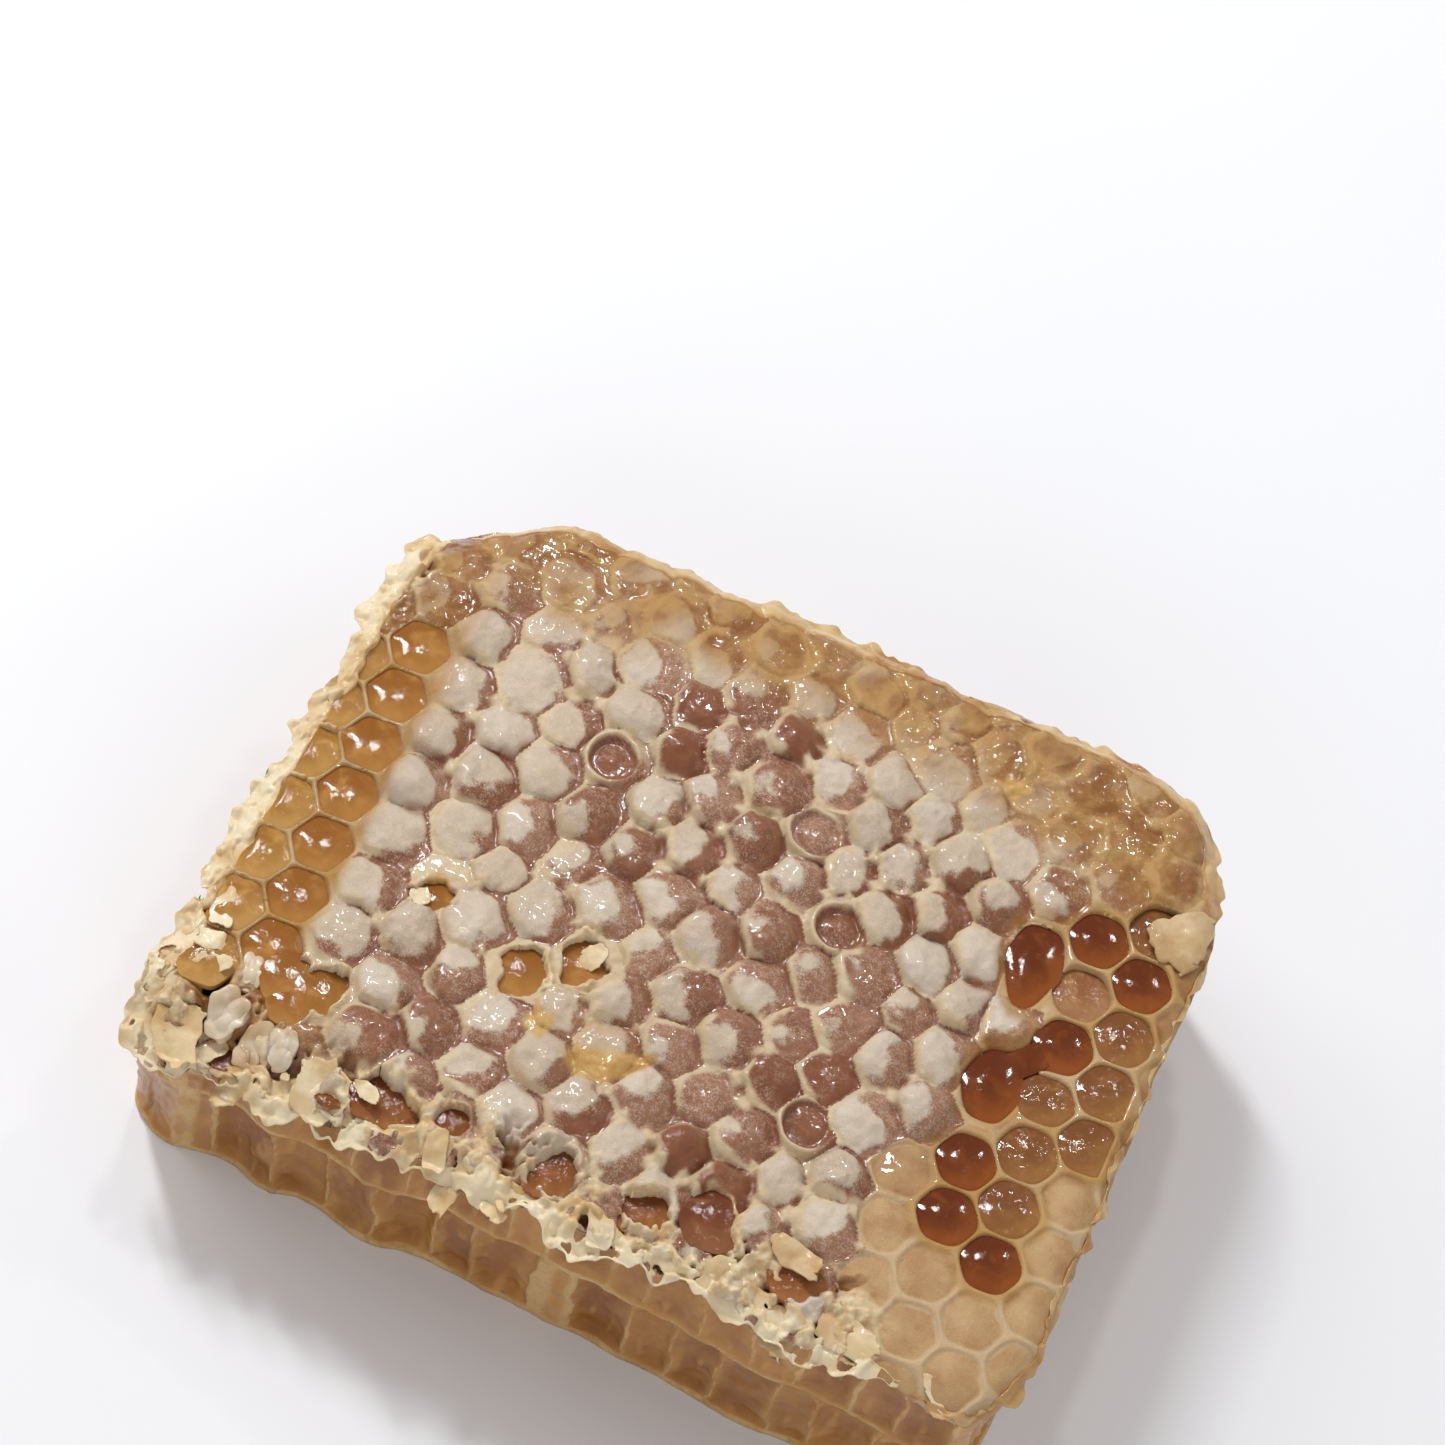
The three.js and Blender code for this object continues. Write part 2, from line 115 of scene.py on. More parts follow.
def grain(x, y, size, seed):
    """Soft random waves over the plane, between -1 and 1, about one wave for each size."""
    if seed not in grain_tables:
        fresh = np.random.default_rng(seed).random((GRAIN_CELLS, GRAIN_CELLS))
        grain_tables[seed] = fresh * 2 - 1
    table = grain_tables[seed]
    c, s = math.cos(seed * 1.7), math.sin(seed * 1.7)
    u, v = (x * c - y * s) / size + 500.0, (x * s + y * c) / size + 500.0
    i, j = np.floor(u).astype(int), np.floor(v).astype(int)
    s, t = u - i, v - j
    s, t = s * s * (3 - 2 * s), t * t * (3 - 2 * t)
    i, j = i % GRAIN_CELLS, j % GRAIN_CELLS
    right, above = (i + 1) % GRAIN_CELLS, (j + 1) % GRAIN_CELLS
    near = table[i, j] * (1 - s) + table[right, j] * s
    far = table[i, above] * (1 - s) + table[right, above] * s
    return near * (1 - t) + far * t


def waves(x, y, *parts):
    """Soft waves added up, each with its height, size and seed."""
    return sum(height * grain(x, y, size, seed) for height, size, seed in parts)


def rough_grain(x, y, size, seed):
    """Soft waves with two finer ones on top."""
    parts = (1, size, seed), (0.5, size / 2.1, seed + 1), (0.25, size / 4.3, seed + 2)
    return waves(x, y, *parts) / 1.4


# ---- the lattice of cells ----

def lattice_point(i, j):
    up, down = LATTICE_TURN + math.pi / 6, LATTICE_TURN - math.pi / 6
    x = FIRST_CELL[0] + PITCH * (i * math.cos(up) + j * math.cos(down))
    y = FIRST_CELL[1] + PITCH * (i * math.sin(up) + j * math.sin(down))
    left, strip = ease(27, 0, x), ease(-23, -32, x)
    return x + left * (1.5 * (1 - 0.85 * strip) + 0.03 * (y - FIRST_CELL[1])), y


def cells_in_reach():
    counts = np.arange(-LATTICE_REACH, LATTICE_REACH + 1)
    i, j = (part.ravel() for part in np.meshgrid(counts, counts, indexing="ij"))
    x, y = lattice_point(i, j)
    inside = (abs(x) < 46) & (abs(y) < 38)
    return i[inside], j[inside], x[inside], y[inside]


CELL_I, CELL_J, CELL_X, CELL_Y = cells_in_reach()
CELL_SWELL = np.zeros(len(CELL_X))
CHUNK = 20000  # points at a time


def nearest_cell(x, y):
    """For each point its cell, and how far it is inside that cell's border and its corner."""
    best, border, corner = np.empty(len(x), int), np.empty(len(x)), np.empty(len(x))
    soft = 0.2
    for start in range(0, len(x), CHUNK):
        part = slice(start, start + CHUNK)
        far = (x[part, None] - CELL_X) ** 2 + (y[part, None] - CELL_Y) ** 2 - CELL_SWELL
        order = np.argpartition(far, 3, axis=1)[:, :4]
        picked = np.take_along_axis(far, order, 1)
        inner = np.argsort(picked, axis=1)
        order, picked = (np.take_along_axis(one, inner, 1) for one in (order, picked))
        near_x, near_y = CELL_X[order], CELL_Y[order]
        apart = np.hypot(near_x[:, :1] - near_x[:, 1:], near_y[:, :1] - near_y[:, 1:])
        to_side = (picked[:, 1:] - picked[:, :1]) / (2 * apart)
        best[part], corner[part] = order[:, 0], to_side[:, 1]
        border[part] = -soft * np.log(np.exp(-to_side / soft).sum(axis=1))
    return best, border, corner


# ---- the outline ----

def read_line(line, marks, at):
    """Points read off a line between its marks."""
    return np.stack([np.interp(at, marks, line[:, 0]), np.interp(at, marks, line[:, 1])], 1)


def spaced(line, step):
    """A closed line again, with points at even steps."""
    closed = np.vstack([line, line[:1]])
    along = np.cumsum(np.linalg.norm(np.diff(closed, axis=0), axis=1))
    count = max(8, round(along[-1] / step))
    return read_line(closed, np.append(0, along), np.arange(count) / count * along[-1])


def smooth_outline():
    """The outline with rounded corners, as a closed line of close points."""
    corners = np.array(OUTLINE_CORNERS)
    line = []
    for n, radius in enumerate(corners[:, 2]):
        here, before, after = (corners[m % len(corners), :2] for m in (n, n - 1, n + 1))
        back, ahead = before - here, after - here
        long_back, long_ahead = np.linalg.norm(back), np.linalg.norm(ahead)
        half = math.acos(back @ ahead / long_back / long_ahead) / 2
        reach = min(radius / math.tan(half), 0.48 * min(long_back, long_ahead))
        start, end = here + back / long_back * reach, here + ahead / long_ahead * reach
        for t in np.linspace(0, 1, 24):
            line.append((1 - t) ** 2 * start + 2 * t * (1 - t) * here + t * t * end)
    return spaced(np.array(line), EDGE_STEP)


def outward(line):
    ahead = np.roll(line, -3, 0) - np.roll(line, 3, 0)
    ahead /= np.linalg.norm(ahead, axis=1)[:, None]
    return np.stack([ahead[:, 1], -ahead[:, 0]], 1)


SMOOTH_EDGE = smooth_outline()
OUTWARD = outward(SMOOTH_EDGE)


def wandering_edge():
    """The cut edge as the saw and the tearing left it, from broad wander to fine teeth."""
    x, y = SMOOTH_EDGE.T
    facets = round(len(x) * EDGE_STEP / OUTLINE_STEP)
    at = np.arange(len(x)) / len(x) * facets
    first = np.floor(at).astype(int)
    blend = ease(0, 1, at - first)
    here, ahead = (2 * chance((first + n) % facets, 5, 9) - 1 for n in (0, 1))
    torn = np.maximum(ease(-25, -27, y) * ease(33, 26, x), ease(-33, -35, x))
    wander = here * (1 - blend) + ahead * blend
    out = wander * (RAGGED_FAR + (RAGGED_NEAR - RAGGED_FAR) * torn)
    teeth = waves(x, y, (0.60, 2.1, 61), (0.34, 0.9, 62), (0.10, 0.45, 64))
    out += teeth * torn * (1 - 0.45 * ease(-22, -19, y) * ease(-30, -34, x))
    out += (1 - torn) * 0.10 * grain(x, y, 0.9, 63)
    out += 0.35 * ease(0.2, 1.4, nearest_cell(x, y)[1]) * ease(24, 27, y)
    return SMOOTH_EDGE + OUTWARD * out[:, None]


EDGE = wandering_edge()
EDGE_LONG = len(EDGE) * EDGE_STEP


def side_line():
    """Where the cut sides stand: just inside the edge, without its teeth."""
    out = ((EDGE - SMOOTH_EDGE) * OUTWARD).sum(1)
    half = CALM_POINTS // 2
    ring = np.concatenate([out[-half:], out, out[:half]])
    calm = np.convolve(ring, np.ones(CALM_POINTS) / CALM_POINTS, "valid")
    return SMOOTH_EDGE + OUTWARD * (calm - SIDE_INSET)[:, None]


SIDE_LINE = side_line()
COARSE_EDGE = spaced(SMOOTH_EDGE, OUTLINE_STEP / 2)


def distance_to_edge(x, y):
    """How far points are inside the outline, which bulges everywhere; below zero outside."""
    best = np.full(len(x), 1e9)
    for start, end in zip(COARSE_EDGE, np.roll(COARSE_EDGE, -1, 0)):
        along = (end - start) / np.linalg.norm(end - start)
        best = np.minimum(best, along[0] * (y - start[1]) - along[1] * (x - start[0]))
    return best


def room_round(cell):
    return distance_to_edge(np.array([cell.x]), np.array([cell.y]))[0]


def closest(line, place):
    """The number of the point of a line that is closest to a place."""
    return int(np.argmin(np.hypot(*(line - place).T)))


def edge_sides():
    """The edge in four sides: near, right, far and left, each from its lower or left end."""
    cuts = [closest(EDGE, corner) for corner in SIDE_CORNERS]
    rolled = np.roll(EDGE, -cuts[0], 0)
    ends = [(cut - cuts[0]) % len(EDGE) for cut in cuts] + [len(EDGE)]
    closed = np.vstack([rolled, rolled[:1]])
    near, right, far, left = (closed[ends[n]:ends[n + 1] + 1] for n in range(4))
    return near, right, far[::-1], left[::-1]


NEAR, RIGHT, FAR, LEFT = edge_sides()


def on_plan(u, v):
    """A point of the plan from its shares of the way across and along."""
    near, far, left, right = (
        read_line(side, np.linspace(0, 1, len(side)), share)
        for side, share in ((NEAR, u), (FAR, u), (LEFT, v), (RIGHT, v)))
    u, v = u[:, None], v[:, None]
    flat = ((1 - u) * (1 - v) * NEAR[0] + u * (1 - v) * NEAR[-1]
            + (1 - u) * v * FAR[0] + u * v * FAR[-1])
    return ((1 - v) * near + v * far + (1 - u) * left + u * right - flat).T


# ---- height of the rims ----

def rim_level(x, y):
    sag = 2.0 * ease(4, -30, x)
    strip = 0.9 * ease(-29.5, -31.5, x)
    corner = 2.6 * ease(1.2, 0.35, np.hypot((x + 33) / 15, (y + 31) / 9))
    near = 1.1 * ease(-24.5, -30, y) * ease(29, 22, x)
    swell = 0.6 * np.sin(x / 9 + 1.3) * np.cos(y / 11 - 0.4) + 0.4 * np.sin((x + y) / 6.5)
    return RIM_LEVEL - sag - strip - corner - near + 0.35 * swell


def rounded_edge(inside):
    share = 1 - np.clip(inside, -0.5, 2.4) / 2.4
    return 1.1 * share * share


def edge_drop(x, y):
    return rounded_edge(np.clip(distance_to_edge(x, y), 0, None))


# ---- open cells ----

class Cell:
    """An open cell: its place, how deep its honey stands, and how far it is stretched."""

    beside = None  # the torn cell that a gap belongs to

    def __init__(self, i, j, sink=0.4, long=1, wide=1, taper=0):
        self.x, self.y = (float(part) for part in lattice_point(i, j))
        self.sink, self.long, self.wide, self.taper = sink, long, wide, taper

    def join(self, group, number):
        """Takes its place in a group, of whose torn cells the first four are off the edges."""
        self.group, self.number = group, number
        self.torn = group == "honey_torn"
        self.ragged = self.torn and number > 4


STRIP_COLUMN, STRIP_SINK = -13, 0.45


def column_cells(column, rows):
    return [Cell(column / 2 + row, column / 2 - row, STRIP_SINK) for row in rows]


GROUPS = {
    "honey_right": [
        Cell(0, 0), Cell(-1, 1), Cell(-1, 2), Cell(0, 1), Cell(1, 0), Cell(2, -1, long=0.88),
        Cell(3, -2), Cell(1.4, -1.4, long=1.36), Cell(3.66, -3.66, 0.4, 1.6, 0.94, 0.2),
        Cell(4, -3, 0.9), Cell(5, -4), Cell(5, -3), Cell(6, -4, 0.8), Cell(4, -2), Cell(3, -1),
        Cell(2, 0),
    ],
    "honey_left": column_cells(STRIP_COLUMN, np.arange(7) - 0.5),
    "honey_outer": column_cells(STRIP_COLUMN - 1, np.arange(7) - 1),
    "honey_torn": [
        Cell(-7, -5, 0.8, 1.1), Cell(-4, -5, 0.9), Cell(-3, -5, 1.0, 1.1, 0.85),
        Cell(-4.3, -6.7, 0.9, 0.8, 0.8), Cell(-9, -4, 1.8), Cell(-7.5, -2.8, 2.2, wide=1.15),
        Cell(-6.8, -2.1, 2.0, 0.7, 0.7), Cell(-6, -1, 2.2), Cell(-5.2, 0, 2.4, 0.8),
        Cell(-4.4, 0.42, 1.4), Cell(-3.8, 1.7, 1.6, 0.9),
    ],
}
for group, members in GROUPS.items():
    for n, cell in enumerate(members):
        cell.join(group, n + 1)


def gap_beside(number, x, y, wide, long):
    """Where torn walls let the honey of a torn cell run on into the next one."""
    beside = GROUPS["honey_torn"][number - 1]
    gap = Cell(0, 0, beside.sink, long, wide)
    gap.join(beside.group, number)
    gap.x, gap.y, gap.beside = x, y, beside
    return gap


GAPS = [gap_beside(1, -29.4, -20.6, 0.85, 0.9), gap_beside(1, -28.0, -22.6, 0.8, 0.75),
        gap_beside(6, -15.6, -28.0, 0.9, 0.7), gap_beside(6, -21.4, -29.6, 0.5, 0.4)]
OPEN_CELLS = sum(GROUPS.values(), []) + GAPS
CELL_REACH = 0.96 * (PITCH - WALL) / 2
# How sharp the corners of a group's openings are, and how far the openings reach.
SHARPNESS = {"honey_right": 7, "honey_left": 12, "honey_outer": 12, "honey_torn": 8}
GROWTH = {"honey_right": 0.33, "honey_left": 0.34, "honey_outer": 0.34, "honey_torn": -0.1}
OPENING_REACH = {group: CELL_REACH + more for group, more in GROWTH.items()}


def local_to(cell, x, y):
    """A point measured from a cell's middle, along its own flats and columns."""
    dx, dy = x - cell.x, y - cell.y
    c, s = math.cos(LATTICE_TURN), math.sin(LATTICE_TURN)
    py = (dy * c - dx * s) / cell.long
    return (dx * c + dy * s) / cell.wide / (1 + cell.taper * py / CELL_REACH), py


def hexagon_measure(cell, px, py):
    power = SHARPNESS[cell.group]
    total = 0
    for angle in (math.pi / 6, math.pi / 2, math.pi * 5 / 6):
        total = total + abs(px * math.cos(angle) + py * math.sin(angle)) ** power
    return total ** (1 / power)


def beyond_cell(cell, x, y):
    """How far a point is outside a cell's opening, below zero inside it."""
    out = hexagon_measure(cell, *local_to(cell, x, y)) - OPENING_REACH[cell.group]
    if cell.torn:
        tears = waves(x, y, (0.55, 1.5, 41), (0.32, 0.7, 42), (0.14, 0.35, 44))
        out = out + 0.35 * cell.ragged + tears
    return out


def from_segment(x, y, start, end):
    """How far points are from a straight stretch, and at what share of the way along it."""
    along = np.subtract(end, start)
    share = ((x - start[0]) * along[0] + (y - start[1]) * along[1]) / (along @ along)
    share = np.clip(share, 0, 1)
    return np.hypot(x - start[0] - share * along[0], y - start[1] - share * along[1]), share


# The short neck that joins two of the open cells.
NECK_ENDS = ((28.0, -1.6), (31.2, 2.4))
NECK_HALF = 1.15
NECK_BLEND = 0.35


def beyond_openings(x, y, inside, groups=tuple(GROUPS)):
    """How far points are outside the nearest opening of these groups."""
    best = np.full(len(x), 9.0)
    for cell in OPEN_CELLS:
        if cell.group in groups:
            close = (abs(x - cell.x) < 8) & (abs(y - cell.y) < 8)
            best[close] = np.minimum(best[close], beyond_cell(cell, x[close], y[close]))
    if "honey_right" in groups:
        close = (abs(x - NECK_ENDS[0][0]) < 6) & (abs(y - NECK_ENDS[0][1]) < 6)
        neck = from_segment(x[close], y[close], *NECK_ENDS)[0] - NECK_HALF
        both = np.exp(-np.clip(best[close], -5, 5) / NECK_BLEND) + np.exp(-neck / NECK_BLEND)
        best[close] = -NECK_BLEND * np.log(both)
    return np.maximum(best, SIDE_WALL - inside)


# Cells that the bees built out of line, by their number in the lattice, and their places.
for i, j, *place in ((1, -1, 27.8, -4.3), (2, -2, 27.3, 2.5), (3, -3, 27.1, 7.6),
                     (4, -4, 26.9, 10.9)):
    here = (CELL_I == i) & (CELL_J == j)
    CELL_X[here], CELL_Y[here] = place

CELL_OPEN = np.zeros(len(CELL_X), bool)
for cell in OPEN_CELLS:
    if not cell.ragged:
        CELL_OPEN |= np.hypot(CELL_X - cell.x, (CELL_Y - cell.y) / cell.long) < 0.62 * PITCH
CELL_FLAT = (np.hypot(CELL_X - 33, CELL_Y + 22) < 12.5) | ((CELL_X > 37.3) & (CELL_Y < 18))


def draw(seed):
    """One number between 0 and 1 for each cell of the lattice."""
    return chance(CELL_I, CELL_J, seed)


# Cells stray from the lattice, but for flat ones and those close to a tidy opening.
ROOM = np.min([np.hypot(CELL_X - c.x, CELL_Y - c.y) for c in OPEN_CELLS if not c.torn], axis=0)
LOOSE = ease(5.0, 8.5, ROOM) * (~CELL_FLAT)
CELL_X = CELL_X + 0.5 * LOOSE * (2 * draw(31) - 1)
CELL_Y = CELL_Y + 0.55 * LOOSE * (2 * draw(32) - 1)
CELL_SWELL = 3.6 * LOOSE * (2 * draw(33) - 1)

# ---- how each cap looks ----

# Soft spots over the field where caps are drier (above zero) or wetter than the rest.
DRY_SPOTS = [
    (-24, 6, 11, 0.34), (-20, -8, 7, 0.25), (18, 20, 9, 0.45), (24, 4, 5, 0.1), (-6, -22, 9, 0.35),
    (8, 24, 9, 0.25), (11, -4, 9, -0.40), (6, -17, 7, -0.35), (-4, 12, 7, -0.20),
    (-22, -22, 6, -0.35), (30, 22, 8, -0.25), (-16, 16, 8, 0.10), (17, -20, 6, 0.35),
]


def dryness():
    cover = 0.16 + 0.78 * draw(11)
    for x, y, reach, amount in DRY_SPOTS:
        cover = cover + amount * np.exp(-((CELL_X - x) ** 2 + (CELL_Y - y) ** 2) / reach ** 2)
    return np.where(CELL_FLAT, 1.3, np.clip(cover, -0.1, 1.05))


def caps_at(*places):
    """Marks the caps nearest to a few places."""
    found = np.zeros(len(CELL_X))
    for place in places:
        found[closest(np.stack([CELL_X, CELL_Y], 1), place)] = 1
    return found


# Caps that were licked hollow by honey, caps under a glaze of honey, and large dark wet ones.
CAP_RING = caps_at((15.4, -14.9), (9.7, 3.5), (-13.8, 8.9), (4.6, 12.2))
CAP_GLAZED = caps_at((-3.0, -17.0), (-8.4, -15.7), (19.4, 24.3), (24.3, -14.0))
CAP_WET = caps_at((5.7, -21.9), (11.6, -23.5), (-8.9, 12.2), (-0.8, 18.1), (14.6, -8.9),
                  (-8.9, 18.4), (10.3, -13.2))
CAP_DRY = np.where(CAP_RING + CAP_WET > 0, -0.3, dryness())
CAP_TONE = np.where(CAP_WET > 0, 1.3, draw(12))
CAP_GLOSS = ease(0.46, 0.60, draw(13)) * (~CELL_FLAT)
CAP_GLOSS = np.maximum.reduce([CAP_GLOSS, CAP_RING, CAP_WET, CAP_GLAZED])
CAP_RISES = CAP_RISE * (0.25 + 1.05 * draw(3) ** 0.8)
CAP_HIGH_SIDE = math.pi * (1.05 + 0.5 * (draw(4) - 0.5))
CAP_DRY_SIDE = math.pi * (1.0 + 0.7 * (draw(14) - 0.5))
# The side of each cap that faces the light: its cream rim there carries painted light.
CAP_LIT_SIDE = math.pi * (1.10 + 0.45 * (draw(15) - 0.5))
CAP_RIM_WIDTH = 0.3 + 0.55 * draw(16)


def evenness(x, y):
    """1 along the far edge, where the caps are low and even, and 0 over the rest."""
    return ease(17, 24, y + 0.25 * np.clip(x - 8, 0, 30))


def cap_dome(cell, share, angle, ring_share):
    """A cap's height over its border: a leaning pillow, a hollow ring, or nearly flat."""
    uphill = np.cos(angle - CAP_HIGH_SIDE[cell])
    lean = share ** 1.2 * (1 - share ** 8) / 0.62
    rise = (1 - 0.68 * evenness(CELL_X[cell], CELL_Y[cell])) * CAP_RISES[cell]
    pillow = rise * (1 - share ** 2.6 + CAP_TILT * lean * uphill)
    crest = 0.60 * (1 + 0.6 * uphill)
    ring = crest * ease(1.08, 0.86, ring_share) - (crest + 0.12) * ease(0.84, 0.60, ring_share)
    ring = ring + 0.35 * ease(0.70, 0.1, ring_share)
    flat = -FLAT_CAP_SINK * (ease(0.98, 0.84, share) - 0.75 * (1 - share ** 2))
    dome = np.where(CAP_RING[cell] > 0, ring, pillow)
    dome = np.where(CELL_FLAT[cell], flat, dome)
    return np.where(CELL_OPEN[cell], 0.0, dome)


# Honey run over the caps: where each spill starts and ends, and how wide it is.
GLAZE_SPILLS = [((-3.8, -17.4), (0.8, -15.6), 1.5), ((-8.7, -15.8), (-8.2, -15.6), 1.3),
                ((19.0, 24.2), (19.8, 24.4), 0.9), ((-22.0, -8.0), (-21.2, -8.8), 1.0)]


def glaze(x, y):
    """How much honey lies over the caps."""
    cover = 0 * x
    for start, end, reach in GLAZE_SPILLS:
        apart, share = from_segment(x, y, start, end)
        cover = np.maximum(cover, ease(1.25, 0.7, apart / (reach * (1.2 - 0.5 * share))))
    return cover


def wax_surface(x, y):
    """Height of the top face and the marks that its colours follow."""
    def ripple(size, seed):
        return grain(x, y, size, seed)

    inside = distance_to_edge(x, y)
    level = rim_level(x, y) - rounded_edge(inside)
    warp_x, warp_y = (waves(x, y, (0.30, 2.6, n), (0.12, 1.1, n + 2)) for n in (5, 6))
    opening = beyond_openings(x, y, inside)
    tidy_opening = beyond_openings(x, y, inside, ("honey_right", "honey_left", "honey_outer"))
    torn_opening = beyond_openings(x, y, inside, ("honey_torn",))
    loose = ease(0.3, 2.0, tidy_opening)
    cell, border, corner = nearest_cell(x + warp_x * loose, y + warp_y * loose)
    puffy = ~CELL_OPEN[cell] * 1.0 * (~CELL_FLAT[cell])
    dx, dy = x - CELL_X[cell], y - CELL_Y[cell]
    angle = np.arctan2(dy, dx)
    round_share = np.hypot(dx, dy) / (PITCH / 2 + 0.1)
    share = np.clip(0.55 * (1 - border / (PITCH / 2)) + 0.45 * round_share, 0, 1)
    ring_share = round_share + 0.07 * ripple(2.2, 79)
    cap = cap_dome(cell, share, angle, ring_share) * ease(0.1, 0.9, opening)

    # A cream rim stands on each cap's left flank, lighter there also as painted light from the
    # left; its right one meets the next in a crease that carries painted shade.
    lit_side = np.cos(angle - CAP_LIT_SIDE[cell])
    rim_reach = CAP_RIM_WIDTH[cell] + 0.22 * ripple(1.6, 71) + 0.1 * ripple(0.6, 73)
    ridge_and_lit_flank = ease(0.5, -0.4, border - rim_reach) * ease(-0.05, 0.55, lit_side)
    ridge_and_lit_flank = np.where(puffy > 0, ridge_and_lit_flank, ease(0.75, 0.10, border + 0.15 * ripple(1.3, 74)))
    # On hollow ring caps the cream ring fades on the side away from the light, as painted light and
    # shade.
    ring_mark = ease(0.66, 0.84, ring_share) * ease(-1.3, -0.2, lit_side)
    ridge_and_lit_flank = np.where(CAP_RING[cell] > 0, ring_mark, ridge_and_lit_flank)
    even = evenness(x, y)
    even_rim = even * ease(0.9, 0.2, border + 0.45 * ripple(2.6, 75))
    even_rim = even_rim * ease(-0.5, 0.3, ripple(5.0, 78))
    ridge_and_lit_flank = np.where(CELL_OPEN[cell], 1.0, np.maximum(ridge_and_lit_flank, 0.7 * even_rim))
    star = ease(1.15, 0.25, corner + 0.25 * ripple(1.0, 76)) * ease(0.05, 0.4, ripple(4.6, 77))
    star = star * puffy * ease(0.6, 1.6, opening)
    ridge_and_lit_flank = np.maximum(ridge_and_lit_flank, star)
    # The side away from the light, whose crease carries painted shade.
    right_side = ease(0.1, -0.45, lit_side) * (1 - 0.8 * even)
    shaded_crease = ease(0.75, 0.0, border + 0.2 * ripple(1.2, 72)) * right_side * puffy * (1 - star)

    # Dry wax lies on the cap as a rounded patch, set toward the left.
    side_x, side_y = np.cos(CAP_DRY_SIDE[cell]), np.sin(CAP_DRY_SIDE[cell])
    toward = dx * side_x + dy * side_y - 1.0
    across = dy * side_x - dx * side_y
    dry = 0.1 + 2.75 * CAP_DRY[cell]
    dry = dry - np.hypot(np.where(toward > 0, 0.35 * toward, toward), 0.72 * across)
    dry = dry + waves(x, y, (0.90, 2.5, 21), (0.38, 1.0, 22), (0.14, 0.5, 23))
    dry = np.where(puffy > 0, dry - 1.1 * shaded_crease, -2.0)

    lumps = waves(x, y, (0.20, 2.1, 31), (0.11, 0.95, 32), (0.05, 0.45, 33))
    lumps = lumps * (1 - 0.75 * CELL_FLAT[cell]) * (0.15 + 0.85 * ease(0.15, 0.8, tidy_opening))
    height = level + cap + lumps + 0.08 * ease(-0.1, 0.12, dry) * puffy
    height = height + puffy * (0.08 * ridge_and_lit_flank - 0.10 * shaded_crease + 0.30 * star)

    # Rims round the openings are rounded over; torn ones stand up in a ragged lip.
    rim = np.clip(1 - opening / 0.34, 0, 1)
    height = height - 0.26 * (1 - np.sqrt(np.clip(1 - rim * rim, 0, 1)))
    lip = np.exp(-((torn_opening - 0.3) / 0.32) ** 2) * ease(-0.2, 0.9, ripple(1.5, 43))
    height = height + 0.7 * lip
    torn_edge = np.maximum.reduce([
        ease(-23.5, -27, y) * ease(30, 24, x), ease(-35, -37.5, x),
        ease(13, 7, np.hypot(x + 37, y + 30))])
    tears = rough_grain(x, y, 2.0, 51)
    pit = torn_edge * ease(0.28, 0.5, rough_grain(x, y, 1.9, 56)) * ease(0.2, 0.9, inside)
    shreds = 0.24 * ripple(0.6, 54) + 0.13 * ripple(0.34, 57)
    height = height + torn_edge * (0.6 * tears + shreds) - 1.3 * pit
    height = np.where(opening < -0.02, level - WELL_FLOOR, height)

    # Honey soaked into the wax round the right openings and along the far and left edges.
    right_rim = ease(1.6, 0.3, beyond_openings(x, y, inside, ("honey_right",)))
    far_edge = ease(19.5, 26.5, y + 2.0 * ripple(4.5, 81) + 0.14 * x * ease(10, 30, x))
    far_corner = 0.6 * ease(31, 38, x + 2.0 * ripple(4.5, 85)) * ease(6, 13, y)
    left_strip = ease(-28.6, -30.6, x) * (0.8 + 0.25 * ripple(1.8, 83))
    torn_corner = 0.45 * ease(1.25, 0.6, np.hypot((x + 34) / 14, (y + 27) / 9))
    amber = np.maximum.reduce([right_rim * 0.9, far_edge, far_corner, left_strip, torn_corner,
                               0.35 * CAP_GLAZED[cell]])
    ragged = torn_edge * ease(-0.1, 0.45, tears + 0.4 * ripple(0.8, 55)) * (1 - pit)
    return height, {
        "dry": dry,
        # cream ridges, with painted light on each cap's lit flank
        "ridge_and_lit_flank": np.clip(np.maximum(ridge_and_lit_flank, ragged * 0.8), 0, 1),
        # painted shade: the crease on each cap's shaded side, and the torn pits
        "shaded_crease": np.maximum(shaded_crease, pit),
        "amber": np.clip(amber * (0.95 + 0.4 * ripple(2.6, 82)), 0, 1),
        "tone": CAP_TONE[cell],
        "glaze": glaze(x + 0.7 * ripple(1.8, 84), y + 0.7 * ripple(1.8, 86)),
        "gloss": CAP_GLOSS[cell],
        "flat": CELL_FLAT[cell] * 1.0,
        "lip": np.clip(lip + ragged, 0, 1),
        "depth": level - height,
    }


# ---- mesh helpers ----

def pick(*pieces):
    """Selects these pieces and nothing else, and makes the first one active."""
    for thing in bpy.context.selected_objects:
        thing.select_set(False)
    for piece in pieces[::-1]:
        piece.select_set(True)
        bpy.context.view_layer.objects.active = piece


def start_piece(name):
    piece = bpy.context.object
    piece.name = name
    piece.data.name = name
    return piece


def points_of(piece):
    flat = np.empty(len(piece.data.vertices) * 3)
    piece.data.vertices.foreach_get("co", flat)
    return flat.reshape(-1, 3)


def move_points(piece, points):
    piece.data.vertices.foreach_set("co", np.ascontiguousarray(points, float).ravel())
    piece.data.update()


def placed(x, y, z):
    """Millimetres of the comb's plan as metres of the part's frame."""
    return np.stack([x + SHIFT[0], y + SHIFT[1], z], -1) * MM


